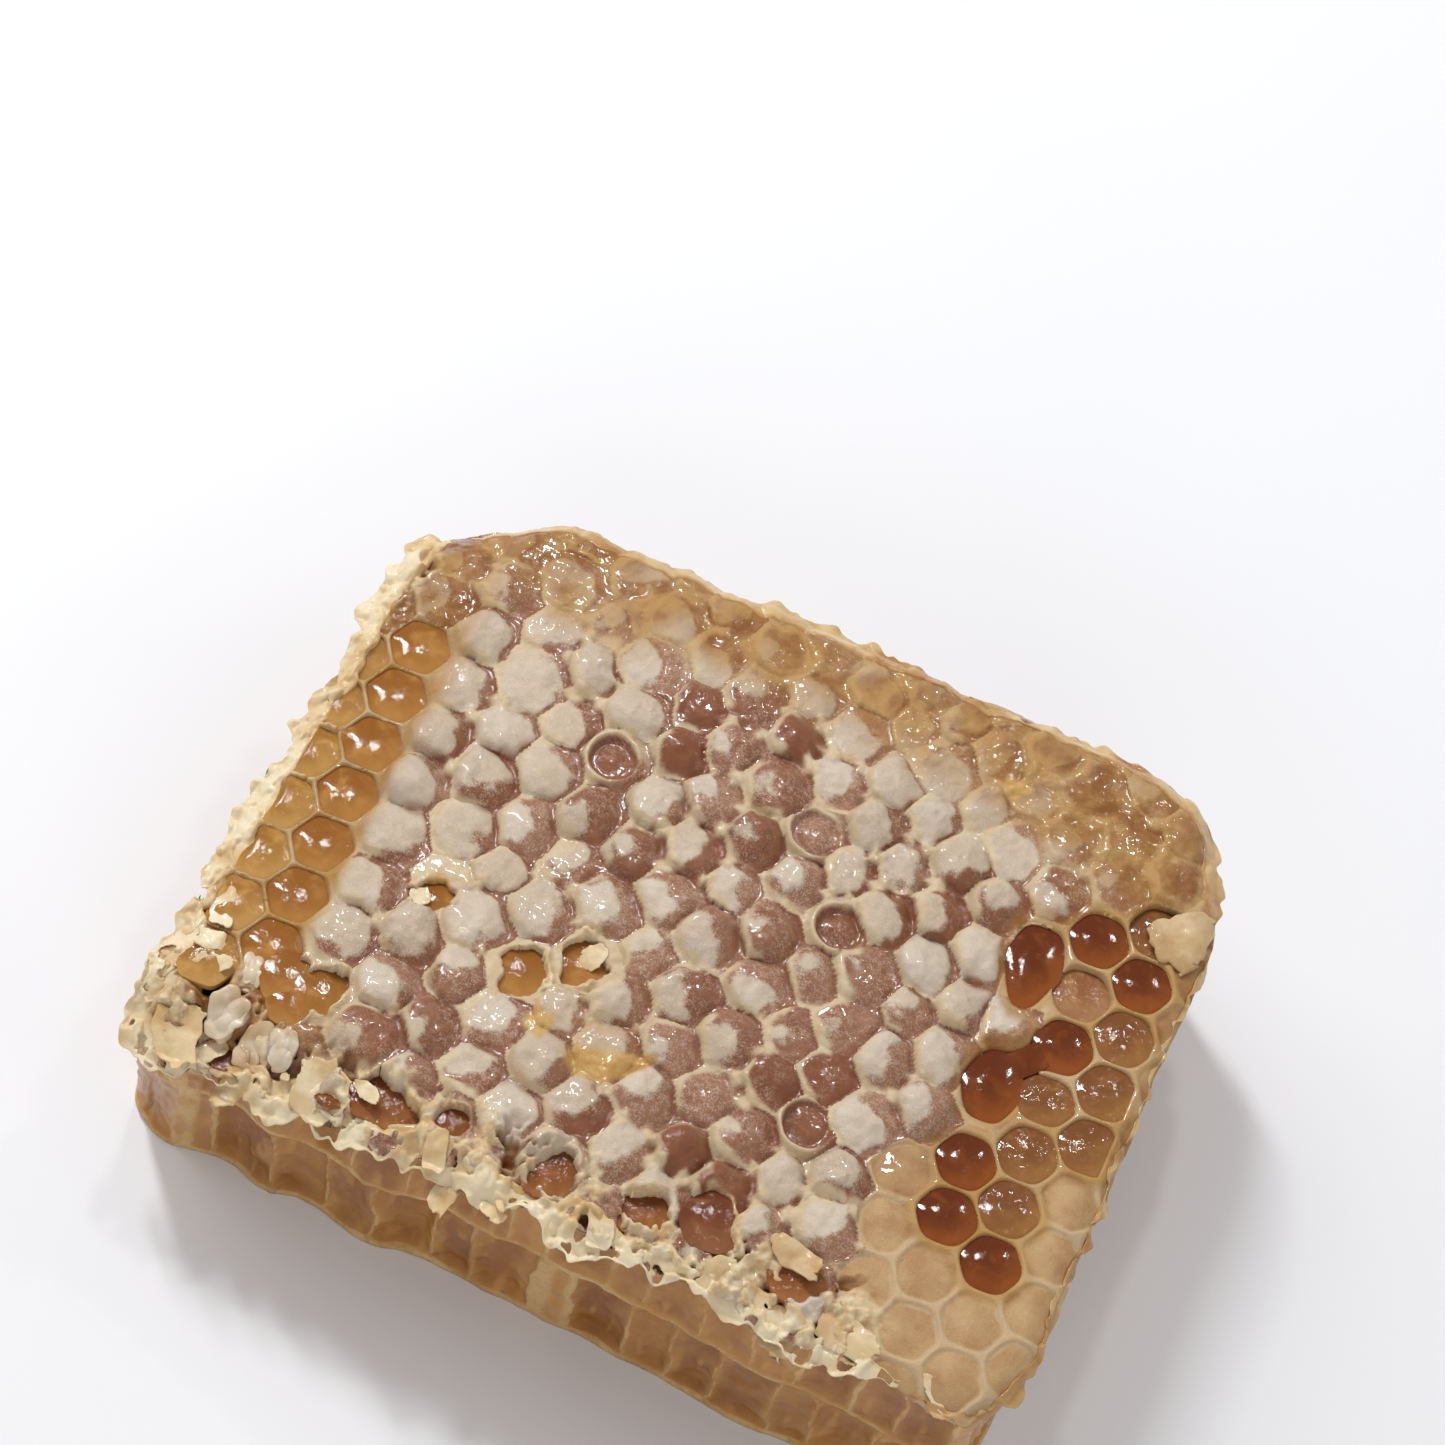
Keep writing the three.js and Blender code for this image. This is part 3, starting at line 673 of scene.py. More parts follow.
def plan_of(points):
    return points[:, 0] / MM - SHIFT[0], points[:, 1] / MM - SHIFT[1], points[:, 2] / MM


def flat_grid(name, across, along):
    """A grid of faces whose points run from 0 to 1 both ways."""
    pick()
    bpy.ops.mesh.primitive_grid_add(x_subdivisions=across, y_subdivisions=along, size=1)
    piece = start_piece(name)
    points = points_of(piece)
    return piece, points[:, 0] + 0.5, points[:, 1] + 0.5


def edit(piece, kind="VERT"):
    """Starts to edit a piece, with nothing selected."""
    pick(piece)
    bpy.ops.object.mode_set(mode="EDIT")
    bpy.ops.mesh.select_mode(type=kind)
    bpy.ops.mesh.select_all(action="DESELECT")


def end_edit():
    bpy.ops.object.mode_set(mode="OBJECT")


def edit_border(piece):
    """Starts to edit a piece, with its open border selected."""
    edit(piece, "EDGE")
    bpy.ops.mesh.select_non_manifold()


def close_underneath(piece, *moves):
    """Extrudes the open border once for each move, closes it and smooths the piece."""
    for move in moves:
        edit_border(piece)
        bpy.ops.mesh.extrude_edges_move()
        end_edit()
        picked = np.zeros(len(piece.data.vertices), bool)
        piece.data.vertices.foreach_get("select", picked)
        points = points_of(piece)
        points[picked] = move(points[picked])
        move_points(piece, points)
    edit_border(piece)
    bpy.ops.mesh.edge_face_add()
    bpy.ops.mesh.select_all(action="SELECT")
    bpy.ops.mesh.normals_make_consistent(inside=False)
    end_edit()
    smooth(piece)


def to_level(z):
    """A move to one height."""
    return lambda points: points * (1, 1, 0) + (0, 0, z * MM)


def thicken(piece, thick):
    sheet = piece.modifiers.new("thickness", "SOLIDIFY")
    sheet.thickness = thick * MM
    sheet.offset = 0
    bpy.ops.object.modifier_apply(modifier=sheet.name)


def smooth(piece):
    pick(piece)
    bpy.ops.object.shade_smooth()


def mark(piece, marks):
    for name, values in marks.items():
        layers = piece.data.attributes
        layer = layers.get(name) or layers.new(name, "FLOAT", "POINT")
        layer.data.foreach_set("value", np.ascontiguousarray(values, np.float32))


# ---- finishes ----

def paint(colour):
    """A colour given as it looks on a screen, for a socket that wants it linear."""
    parts = [part / 255 for part in colour]
    return (*[p / 12.92 if p < 0.04045 else ((p + 0.055) / 1.055) ** 2.4 for p in parts], 1.0)


def sum_operator(operation, swapped=False):
    """An operator on sockets that adds one Math node."""
    def apply(self, other):
        first, second = (other, self) if swapped else (self, other)
        return self.finish.node("ShaderNodeMath", {0: first, 1: second}, operation=operation)
    return apply


class Value:
    """A socket that can be used in sums."""

    def __init__(self, finish, socket):
        self.finish = finish
        self.socket = socket

    __add__, __radd__ = sum_operator("ADD"), sum_operator("ADD", True)
    __sub__, __rsub__ = sum_operator("SUBTRACT"), sum_operator("SUBTRACT", True)
    __mul__, __rmul__ = sum_operator("MULTIPLY"), sum_operator("MULTIPLY", True)
    larger = sum_operator("MAXIMUM")


class Finish:
    """A material that is built from nodes, one call each."""

    def __init__(self, name):
        self.material = bpy.data.materials.new(name)
        self.material.use_nodes = True
        self.tree = self.material.node_tree
        self.shader = self.tree.nodes["Principled BSDF"]
        self.place = self.node("ShaderNodeTexCoord", {}, "Object")

    def node(self, kind, inputs, output=0, **settings):
        made = self.tree.nodes.new(kind)
        for name, value in settings.items():
            setattr(made, name, value)
        self.feed(made, inputs)
        return Value(self, made.outputs[output])

    def feed(self, made, inputs):
        """Sets a node's inputs, or links them to other sockets."""
        for name, value in inputs.items():
            if isinstance(value, Value):
                self.tree.links.new(value.socket, made.inputs[name])
            else:
                made.inputs[name].default_value = value

    def mark(self, name):
        return self.node("ShaderNodeAttribute", {}, "Fac", attribute_name=name)

    def noise(self, size, detail=2.0, rough=0.5, twist=0.0):
        """Noise with waves about this many millimetres long, between 0 and 1."""
        inputs = {"Vector": self.place, "Scale": 1 / (size * MM), "Detail": detail,
                  "Roughness": rough, "Distortion": twist}
        return self.node("ShaderNodeTexNoise", inputs, "Fac")

    def step(self, value, low, high):
        """0 below low, 1 above high, and a soft way between them."""
        inputs = {"Value": value, "From Min": low, "From Max": high}
        return self.node("ShaderNodeMapRange", inputs, "Result", interpolation_type="SMOOTHSTEP")

    def mix(self, share, first, second):
        """A colour between two, each a mix itself or given as it looks on a screen."""
        first, second = (c if isinstance(c, Value) else paint(c) for c in (first, second))
        inputs = {0: share, 6: first, 7: second}
        return self.node("ShaderNodeMix", inputs, 2, data_type="RGBA")

    def bump(self, height, strength, distance):
        inputs = {"Height": height, "Strength": strength, "Distance": distance * MM}
        return self.node("ShaderNodeBump", inputs, "Normal")

    def end(self, colour, roughness, **more):
        """The finished material; more inputs are named with underscores for spaces."""
        inputs = {name.replace("_", " "): value for name, value in more.items()}
        self.feed(self.shader, {"Base Color": colour, "Roughness": roughness, **inputs})
        return self.material

    def end_soft(self, colour, roughness, normal, glow, reach, depth, shine, **more):
        """The finished material of something that light goes a little way into."""
        return self.end(
            colour, roughness, Normal=normal, Subsurface_Weight=glow, Subsurface_Radius=reach,
            Subsurface_Scale=depth * MM, Specular_IOR_Level=shine, **more)


def wax_finish():
    """Cap wax: dry chalky patches, wet stretches with the honey showing, cream rims that carry
    painted light on each cap's lit flank, painted shade in the creases and pits.
    """
    f = Finish("comb_wax")
    broad, fine, speck = f.noise(2.6, 3), f.noise(0.55, 3, 0.6), f.noise(0.15, 2, 0.7)
    tone, flat, gloss, glazed = (f.mark(name) for name in ("tone", "flat", "gloss", "glaze"))
    wet = f.mix(f.step(broad * 0.8 + tone * 0.6, 0.35, 1.05), (156, 113, 86), (131, 81, 53))
    bloom = f.step(speck * 0.7 + fine * 0.4, 0.52, 0.66)
    bloom = bloom * f.step(broad * 0.8 - tone * 0.25, 0.04, 0.34)
    wet = f.mix(bloom * 0.7, wet, (194, 170, 152))
    chalk = f.step(fine * 0.6 + broad * 0.5 + tone * 0.25, 0.45, 0.85)
    dry = f.mix(chalk, (206, 192, 173), (192, 171, 147))
    dry = f.mix(f.step(speck * 0.5 + fine * 0.5, 0.5, 0.62) * 0.4, dry, (218, 208, 192))
    dry_share = f.step(f.mark("dry") + (fine - 0.5) * 0.8 + (speck - 0.5) * 0.7, -0.32, 0.32)
    colour = f.mix(dry_share, wet, dry)
    tan = f.mix(f.step(broad, 0.3, 0.7), (171, 132, 88), (193, 160, 114))
    tan = f.mix(f.step(speck, 0.5, 0.75) * 0.3, tan, (204, 180, 140))
    colour = f.mix(flat * 0.9, colour, tan)
    clouds = f.step(broad * 0.6 + fine * 0.4, 0.35, 0.65)
    cream = f.mix(clouds, (210, 192, 160), (201, 176, 140))
    # Cream ridges and rims, which also carry painted light on each cap's lit flank.
    ridge_and_lit_flank = f.step(f.mark("ridge_and_lit_flank") + (fine - 0.5) * 0.5 + (speck - 0.5) * 0.3, 0.12, 0.95)
    colour = f.mix(ridge_and_lit_flank * (0.92 - flat * 0.45), colour, cream)
    # Painted shade: the creases on each cap's shaded side and the torn pits go dark brown.
    colour = f.mix(f.mark("shaded_crease") * 0.6, colour, (126, 74, 46))
    soak = f.step(broad * 1.2 + ridge_and_lit_flank * 0.3 + dry_share * 0.15, 0.4, 0.95)
    colour = f.mix(f.mark("amber") * 0.92, colour, f.mix(soak, (139, 89, 36), (176, 134, 74)))
    colour = f.mix(glazed * 0.95, colour, f.mix(clouds, (206, 171, 106), (192, 147, 82)))
    torn = f.mix(f.step(fine * 0.5 + broad * 0.5, 0.4, 0.6), (228, 210, 172), (206, 172, 124))
    colour = f.mix(f.mark("lip") * 0.85, colour, torn)
    deep = f.step(f.mark("depth") + (fine - 0.5) * 0.4, 0.4, 1.7)
    colour = f.mix(deep * 0.85, colour, (156, 100, 52))
    dull = dry_share.larger(ridge_and_lit_flank * 0.7).larger(flat * 0.9)
    return f.end_soft(
        colour, 0.24 + dull * 0.26 - gloss * 0.10 + fine * 0.08,
        f.bump(speck * (0.35 + dull * 0.5) + fine * 0.8, 0.6, 0.14),
        0.15, (1.0, 0.6, 0.35), 0.9, 0.25, Coat_Roughness=0.05,
        Coat_Weight=f.step(1.0 - dull + gloss.larger(glazed) * 0.9, 0.3, 1.3) * 0.9)


def side_finish():
    """The cut sides: pale cell walls with honey standing in the opened cells."""
    f = Finish("cut_cell_wax")
    broad, fine, speck = f.noise(3.2, 3), f.noise(0.6, 3, 0.6), f.noise(0.18, 2, 0.7)
    wall = f.step(f.mark("wall") + (fine - 0.5) * 0.5 + (broad - 0.5) * 0.5, 0.3, 0.85)
    darker = f.step(broad * 0.7 + f.mark("tone") * 0.3 + f.mark("deep") * 0.35, 0.4, 1.1)
    honey = f.mix(darker, (186, 134, 68), (142, 86, 38))
    drip = f.step(f.mark("drip") + (fine - 0.5) * 0.3, 0.55, 0.95)
    honey = f.mix(drip * 0.5, honey, (206, 154, 84))
    wax = f.mix(f.step(broad * 0.5 + fine * 0.5, 0.4, 0.65), (206, 172, 118), (182, 136, 76))
    colour = f.mix(f.step(speck, 0.6, 0.8) * 0.2, f.mix(wall, honey, wax), (222, 198, 154))
    return f.end_soft(colour, 0.12 + wall * 0.35, f.bump(speck * 0.4 + fine, 0.4, 0.16),
                      0.15, (1.0, 0.55, 0.25), 1.2, 0.4)


def flake_finish(name, light, warm, amber_light, amber_deep, coat):
    """Thin torn wax, from pale to amber, chalky, with honey in its folds."""
    f = Finish(name)
    broad, fine, speck = f.noise(2.2, 3), f.noise(0.6, 3, 0.6), f.noise(0.2, 2, 0.7)
    clouds = f.step(broad, 0.35, 0.7)
    pale, tan = f.mix(clouds, light, warm), f.mix(clouds, amber_light, amber_deep)
    colour = f.mix(f.step(f.mark("tone"), 0.4, 0.9), pale, tan)
    root = f.step(f.mark("root") + (fine - 0.5) * 0.6, 0.35, 0.9)
    colour = f.mix(root * 0.7, colour, amber_deep)
    colour = f.mix(f.step(fine, 0.58, 0.8) * 0.35, colour, (196, 164, 122))
    return f.end_soft(colour, 0.34 + fine * 0.2, f.bump(fine + speck * 0.4, 0.5, 0.12),
                      0.06, (1.0, 0.65, 0.35), 0.5, 0.35, Coat_Weight=coat, Coat_Roughness=0.1)


def honey_finish(name, deep, edge, streak, veil, shine):
    """Honey: deepest in colour in the middle, lighter against the walls and on the side where the
    rim mark paints light, with fine streaks.
    """
    f = Finish(name)
    broad, fine, speck = f.noise(2.0, 2, 0.5, 0.6), f.noise(0.7, 3, 0.6, 0.4), f.noise(0.22, 2, 0.6)
    # Painted light: the rim mark lightens each pool on its near-right side as well as against its
    # walls.
    shallow_and_lit = f.step(f.mark("rim") + (broad - 0.5) * 0.5, 0.15, 1.05)
    colour = f.mix(f.step(broad, 0.5, 0.8) * streak, f.mix(shallow_and_lit, deep, edge), edge)
    colour = f.mix(f.step(fine + speck * 0.3, 0.72, 0.95) * veil, colour, (200, 172, 142))
    return f.end_soft(colour, 0.05 + speck * 0.05, f.bump(fine, 0.05 + veil * 0.28, 0.3),
                      0.08, (1.0, 0.4, 0.15), 1.2, shine)


WAX = wax_finish()
SIDE_WAX = side_finish()
TORN_WAX, TAN_EDGE, LOBE_WAX, WHITE_WAX, FLAG_WAX = (flake_finish(*row) for row in (
    ("torn_wax", (233, 217, 184), (224, 201, 160), (221, 197, 155), (205, 169, 116), 0.3),
    ("tan_edge_wax", (208, 178, 130), (194, 158, 106), (188, 146, 92), (170, 122, 68), 0.35),
    ("lobe_wax", (222, 202, 164), (208, 182, 140), (208, 182, 140), (192, 154, 106), 0.35),
    ("white_wax", (224, 210, 186), (208, 185, 154), (213, 194, 165), (190, 155, 115), 0.7),
    ("flag_wax", (204, 178, 136), (190, 158, 112), (190, 158, 112), (172, 134, 84), 0.15),
))
(DARK_HONEY, BROWN_HONEY, SKIN_HONEY, TORN_HONEY, PALE_AMBER, AMBER_HONEY,
 RED_SKIN) = (honey_finish(*row) for row in (
    ("dark_honey_pool", (98, 45, 19), (146, 80, 34), 0.3, 0.06, 0.35),
    ("brown_honey_pool", (120, 74, 40), (160, 112, 62), 0.5, 0.35, 0.4),
    ("skinned_honey_pool", (138, 88, 56), (184, 142, 100), 0.9, 0.8, 0.25),
    ("torn_cell_honey", (120, 66, 34), (160, 106, 62), 0.8, 0.8, 0.3),
    ("pale_amber_pool", (152, 104, 46), (192, 148, 84), 0.9, 0.4, 0.25),
    ("amber_honey_pool", (142, 90, 38), (184, 134, 72), 0.8, 0.15, 0.25),
    ("wet_red_cap", (104, 56, 34), (150, 98, 66), 0.8, 0.5, 0.35),
))


def wear(piece, finish):
    piece.data.materials.clear()
    piece.data.materials.append(finish)
    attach(piece, "root")


# ---- the top crust, in three pieces ----

def snapped(x, y):
    """Points close to the lip of an opening move onto it, so that the lip is a clean line."""
    tiny = 0.01
    out = beyond_openings(x, y, distance_to_edge(x, y))
    close = abs(out) < 0.55 * GRID_STEP
    cx, cy, out = x[close], y[close], out[close]
    slope_x, slope_y = (
        (beyond_openings(cx + a, cy + b, distance_to_edge(cx + a, cy + b)) - out) / tiny
        for a, b in ((tiny, 0), (0, tiny)))
    steep = np.maximum(slope_x ** 2 + slope_y ** 2, 0.3)
    x[close] = cx - out * slope_x / steep
    y[close] = cy - out * slope_y / steep
    return x, y


def nearest_edge(x, y):
    """For each point the nearest point of the edge, and how far away it is."""
    apart = np.hypot(x[:, None] - EDGE[None, :, 0], y[:, None] - EDGE[None, :, 1])
    return apart.argmin(axis=1), apart.min(axis=1)


def crust_part(name, first, last):
    """One stretch of the top face, closed by a skirt and a floor under the wells."""
    across, along = round((last - first) * 80 / GRID_STEP), round(62.5 / GRID_STEP)
    piece, u, v = flat_grid(name, across, along)
    x, y = on_plan(first + (last - first) * u, v)
    middle = (u > 1e-6) & (u < 1 - 1e-6) & (v > 1e-6) & (v < 1 - 1e-6)
    x[middle], y[middle] = snapped(x[middle], y[middle])
    height, marks = wax_surface(x, y)
    move_points(piece, placed(x, y, height))
    edit_border(piece)
    bpy.ops.mesh.mark_sharp()
    end_edit()

    def down(points):
        """Under torn edges the skirt draws back to an even line, so that teeth stand free."""
        x, y, z = plan_of(points)
        torn = np.maximum(ease(-24, -27, y) * ease(34, 28, x), ease(-33, -36, x))
        nearest, apart = nearest_edge(x, y)
        even = SIDE_LINE[nearest] - OUTWARD[nearest] * (0.25 + 0.25 * torn)[:, None]
        share = (apart < 0.3) * (0.35 + 0.6 * torn)
        deep = np.clip(CRUST_EDGE - 0.9 * torn + 0.3 * grain(x, y, 1.4, 91), 0.4, None)
        x, y = x + (even[:, 0] - x) * share, y + (even[:, 1] - y) * share
        return placed(x, y, np.minimum(z - deep, rim_level(x, y) - SIDE_TOP_DROP - 0.5))

    def inward(points):
        x, y, z = plan_of(points)
        normal = OUTWARD[nearest_edge(x, y)[0]]
        shift = np.clip(CRUST_INNER - distance_to_edge(x, y), 0, None)
        return placed(x - normal[:, 0] * shift, y - normal[:, 1] * shift, z)

    close_underneath(piece, down, inward, to_level(CRUST_BOTTOM))
    x, y, z = plan_of(points_of(piece)[len(height):])
    skirt_marks = wax_surface(x, y)[1]
    mark(piece, {name: np.concatenate([marks[name], skirt_marks[name]]) for name in marks})
    wear(piece, WAX)
    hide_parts("comb")


for n, part_name in enumerate(("cap_crust_left", "cap_crust_middle", "cap_crust_right")):
    crust_part(part_name, n / 3, (n + 1) / 3)


# ---- the cut sides ----

LOWER_SHIFT = np.subtract(lattice_point(1 / 3, 1 / 3), FIRST_CELL)


def cut_sides():
    """The wall all round: opened cells in two layers on the midrib, under the crust's edge."""
    piece, u, v = flat_grid("cut_sides", 1000, 76)
    here = (np.round(u * len(EDGE)).astype(int)) % len(EDGE)
    line, normal = SIDE_LINE[here], OUTWARD[here]
    top = rim_level(*line.T) - SIDE_TOP_DROP
    z = v * top
    lower = z < MIDRIB_LEVEL
    walk, closing = u * EDGE_LONG, ease(0.97, 1.0, u)

    def ring_grain(height, size, seed):
        """Soft waves along the wall that meet themselves where it closes."""
        before, after = (grain(at, height, size, seed) for at in (walk, walk - EDGE_LONG))
        return before * (1 - closing) + after * closing

    stray = 0.45 * ring_grain(z, 3.4, 105) + 0.15 * ring_grain(z, 1.2, 106)
    along = np.stack([-normal[:, 1], normal[:, 0]], 1)
    seen = line - normal * 0.9 + along * stray[:, None] - lower[:, None] * LOWER_SHIFT
    cell, border, corner = nearest_cell(*seen.T)
    wave = 0.30 * ring_grain(z, 2.6, 103) + 0.12 * ring_grain(z, 0.9, 104)
    from_rib = abs(z - MIDRIB_LEVEL + 0.8 * wave) - MIDRIB_HALF
    from_caps = np.where(lower, z - 0.8, top - 0.2 - z)
    room = np.minimum.reduce([border + 0.05, from_rib + 0.5, from_caps + wave])
    cell_depth = 0.5 + 0.9 * chance(CELL_I[cell], CELL_J[cell], 17 + lower * 1.0)
    cell_depth = cell_depth * np.where(lower, 1.0, 0.5)
    hollow = 1 - (1 - np.clip(room / 2.4, 0, 1)) ** 3
    drip = ring_grain(z * 0.22, 0.9, 107) + 0.5 * ring_grain(z * 0.3, 0.45, 108)
    depth = 0.25 + cell_depth * hollow - 0.16 * drip * ease(0.1, 0.8, room)
    depth = depth + 0.12 * ring_grain(z, 1.7, 101) + 0.06 * ring_grain(z, 0.7, 102)
    over_foot = ease(0.0, 0.06, v)
    depth = depth * over_foot + 0.3 * (1 - over_foot)
    x, y = (line - normal * depth[:, None]).T
    move_points(piece, placed(x, y, z))
    mark(piece, {
        "wall": ease(0.36, 0.04, room) * (0.75 + 0.4 * ring_grain(z, 4.0, 109)),
        "tone": chance(CELL_I[cell], CELL_J[cell], 18 + lower * 1.0),
        "deep": hollow, "drip": 0.5 + 0.35 * drip})
    edit(piece)
    bpy.ops.mesh.select_all(action="SELECT")
    bpy.ops.mesh.remove_doubles(threshold=MERGE_WITHIN * MM)
    end_edit()

    def inward(points):
        return points * (0.97, 0.97, 1)

    def level(points):
        """The upper ring goes down inside the crust, the lower one up inside the underside."""
        upper = points[:, 2:] > MIDRIB_LEVEL / 2 * MM
        moved = np.where(upper, points, points * (0.99, 0.99, 1))
        moved[:, 2:] = np.where(upper, SIDE_INNER_TOP, SIDE_INNER_FOOT) * MM
        return moved

    close_underneath(piece, inward, level)
    wear(piece, SIDE_WAX)
    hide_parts("comb")


cut_sides()


# ---- the underside ----

def underside():
    """The cells of the lower layer, capped and pressed flat where the comb lay."""
    def cells_below(x, y):
        warp_x, warp_y = 0.3 * grain(x, y, 2.6, 131), 0.3 * grain(x, y, 2.6, 132)
        return nearest_cell(x - LOWER_SHIFT[0] + warp_x, y - LOWER_SHIFT[1] + warp_y)[:2]

    piece, u, v = flat_grid("underside_caps", 260, 210)
    x, y = on_plan(u, v) * UNDERSIDE_SHARE
    cell, border = cells_below(x, y)
    sunk = 0.34 * ease(0.55, 0.0, border) + 0.14 * np.clip(rough_grain(x, y, 2.4, 133), 0, 1)
    sunk = sunk * ease(1.2, 2.2, distance_to_edge(x, y))
    move_points(piece, placed(x, y, 0.02 + sunk))
    close_underneath(piece, to_level(1.0))
    x, y, z = plan_of(points_of(piece))
    cell, border = cells_below(x, y)
    none = np.zeros(len(x))
    mark(piece, {"dry": none - 2, "ridge_and_lit_flank": ease(0.8, 0.2, border), "shaded_crease": none,
                 "amber": none + 0.5, "tone": CAP_TONE[cell], "gloss": none, "flat": none + 1,
                 "lip": none, "depth": none})
    wear(piece, WAX)
    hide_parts("comb")


underside()


# ---- honey in the open cells ----

def finish_of(cell):
    if cell.group == "honey_right":
        brown = BROWN_HONEY if cell.number in (4, 5, 6, 13, 14, 15, 16) else DARK_HONEY
        return (SKIN_HONEY if cell.number == 10 else brown), "dark_honey"
    if cell.ragged:
        return (RED_SKIN if cell.number == 10 else TORN_HONEY), "dark_honey"
    return (PALE_AMBER if cell.group == "honey_outer" else AMBER_HONEY), "amber_honey"


def pool_point(cell, angle, part, spare):
    """Points at a share of the way from a cell's middle to its walls or to its last room."""
    def out_to(angle, share):
        px, py = np.cos(angle), np.sin(angle)
        reach = OPENING_REACH[cell.group] + spare
        reach = reach / hexagon_measure(cell, px, py) * share
        taper = 1 + cell.taper * py * reach / CELL_REACH
        lx, ly = px * reach * cell.wide * taper, py * reach * cell.long
        c, s = math.cos(LATTICE_TURN), math.sin(LATTICE_TURN)
        return cell.x + lx * c - ly * s, cell.y + lx * s + ly * c

    ways, tries = np.linspace(-math.pi, math.pi, 61), np.linspace(1, 0.2, 41)
    x, y = out_to(ways[:, None], tries)
    room = distance_to_edge(x.ravel(), y.ravel()).reshape(x.shape)
    fits = room >= SIDE_WALL - min(spare, POOL_SPARE)
    most = np.where(fits.any(axis=1), tries[np.argmax(fits, axis=1)], tries[-1])
    return out_to(angle, np.interp(angle, ways, most) * part)


def shape_pool(name, level, place, bumpy, meniscus, foot=POOL_FOOT):
    """A low dome of honey that bends down at the walls, on a round foot in the wax."""
    pick()
    bpy.ops.mesh.primitive_uv_sphere_add(segments=60, ring_count=44, radius=1)
    piece = start_piece(name)
    points = points_of(piece)
    around = np.arctan2(points[:, 1], points[:, 0])
    fall = np.arccos(np.clip(points[:, 2], -1, 1)) / math.pi
    local = np.sin(np.clip(fall / POOL_TOP_SHARE, 0, 1) * math.pi / 2) ** 0.9
    under = np.clip((fall - POOL_TOP_SHARE) / (1 - POOL_TOP_SHARE), 0, 1)
    x, y = place(around, np.where(under > 0, 1 - under ** 4, local))
    crown = meniscus * (1 - local ** 2.3) + 0.01 * grain(x, y, 1.9, 111) * (1 - local ** 2)
    if bumpy:
        crown = crown + waves(x, y, (0.10, 1.3, 112), (0.05, 0.6, 113)) * (1 - local ** 3)
    down = foot * np.where(under > 0, under ** 0.3, 0)
    move_points(piece, placed(x, y, level + crown - down))
    smooth(piece)
    # Painted light and shade: lighter toward each pool's near-right edge, darker at its far-left
    # edge; lighter against the walls as well.
    toward_light = np.clip(0.55 + 0.5 * local * np.cos(around + 0.9), 0, 1.2)
    mark(piece, {"rim": toward_light * (0.55 + 0.45 * local)})
    return piece


def pool_level(cell):
    home = cell.beside or cell
    level = rim_level(home.x, home.y) - rounded_edge(room_round(home)) - home.sink
    return float(level) + TORN_POOL_RAISE * home.ragged - (0.15 if cell.beside else 0)


def honey_pool(cell):
    """Honey standing in one open cell."""
    name = f"{cell.group}_{cell.number}"
    piece_name = name.replace("honey", "honey_pool")
    if cell.beside:
        piece_name = f"{piece_name}_gap_{GAPS.index(cell) + 1}"
    finish, finish_slot = finish_of(cell)
    spare = TORN_POOL_SPARE if cell.torn else POOL_SPARE
    meniscus = 0.8 if finish is RED_SKIN else 0.3 if cell.torn else MENISCUS
    foot = SHORT_FOOT if room_round(cell) < SHORT_WITHIN else POOL_FOOT
    piece = shape_pool(piece_name, pool_level(cell),
                       lambda around, part: pool_point(cell, around, part, spare),
                       finish is BROWN_HONEY, meniscus, foot)
    wear(piece, finish)
    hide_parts(name)


def honey_neck():
    """The honey in the short neck between two open cells."""
    start, end = np.array(NECK_ENDS)
    middle, long = (start + end) / 2, np.linalg.norm(end - start)
    way, half = (end - start) / long, NECK_HALF + POOL_SPARE

    def place(around, part):
        a, b = np.cos(around) * part * (long / 2 + half), np.sin(around) * part * half
        return middle[0] + a * way[0] - b * way[1], middle[1] + a * way[1] + b * way[0]

    level = pool_level(GROUPS["honey_right"][7]) + 0.1
    piece = shape_pool("honey_neck", level, place, False, 0.06)
    mark(piece, {"rim": np.full(len(piece.data.vertices), 0.35)})
    wear(piece, DARK_HONEY)
    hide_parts("honey_right_8")


for open_cell in OPEN_CELLS:
    honey_pool(open_cell)
honey_neck()


# ---- torn sheets, lobes and crumbs of wax ----

# Place, heading, length, width, lift over the surface, slope and curl of each, then its
# thickness where it isn't SHEET_THICK.
TORN_SHEETS = [
    (-37.0, -22.7, 20, 3.6, 1.3, 0.3, 8, 0.3), (-38.6, -22.6, 262, 4.8, 2.8, 0.25, 2, 0.3),
    (-36.6, -26.4, 292, 5.2, 4.2, 0.0, 2, 0.35), (-38.3, -27.4, 235, 3.0, 2.8, 0.0, -8, 0.3),
    (-32.6, -26.6, 250, 3.4, 2.6, 0.1, -2, 0.3), (-39.2, -20.4, 100, 3.2, 1.6, 0.2, 2, 0.3),
    (-22.2, -26.6, 258, 4.6, 4.2, 0.1, -6, 0.2), (-19.8, -27.0, 335, 2.8, 1.2, 0.25, 4, 0.4),
    (-12.0, -28.4, 290, 3.6, 2.4, 0.15, -4, 0.3), (-9.2, -30.0, 262, 4.4, 2.4, 0.0, -14, 0.2),
    (32.6, -29.9, 330, 4.4, 1.1, -0.05, -4, 0.1, 0.16),
    (-7.6, -8.6, 62, 2.6, 1.9, -0.1, 14, 0.3), (-22.2, -8.4, 215, 2.2, 1.8, 0.1, 8, 0.3),
    (-37.8, -15.6, 290, 4.0, 2.4, 0.15, 4, 0.3), (-35.6, -20.0, 190, 3.0, 1.8, 0.2, 6, 0.35),
    (-29.6, -28.8, 262, 3.4, 2.8, 0.1, -6, 0.3), (-4.8, -29.6, 255, 3.4, 2.8, 0.05, -8, 0.3),
    (3.2, -28.8, 285, 3.0, 2.4, 0.1, -6, 0.3),
]
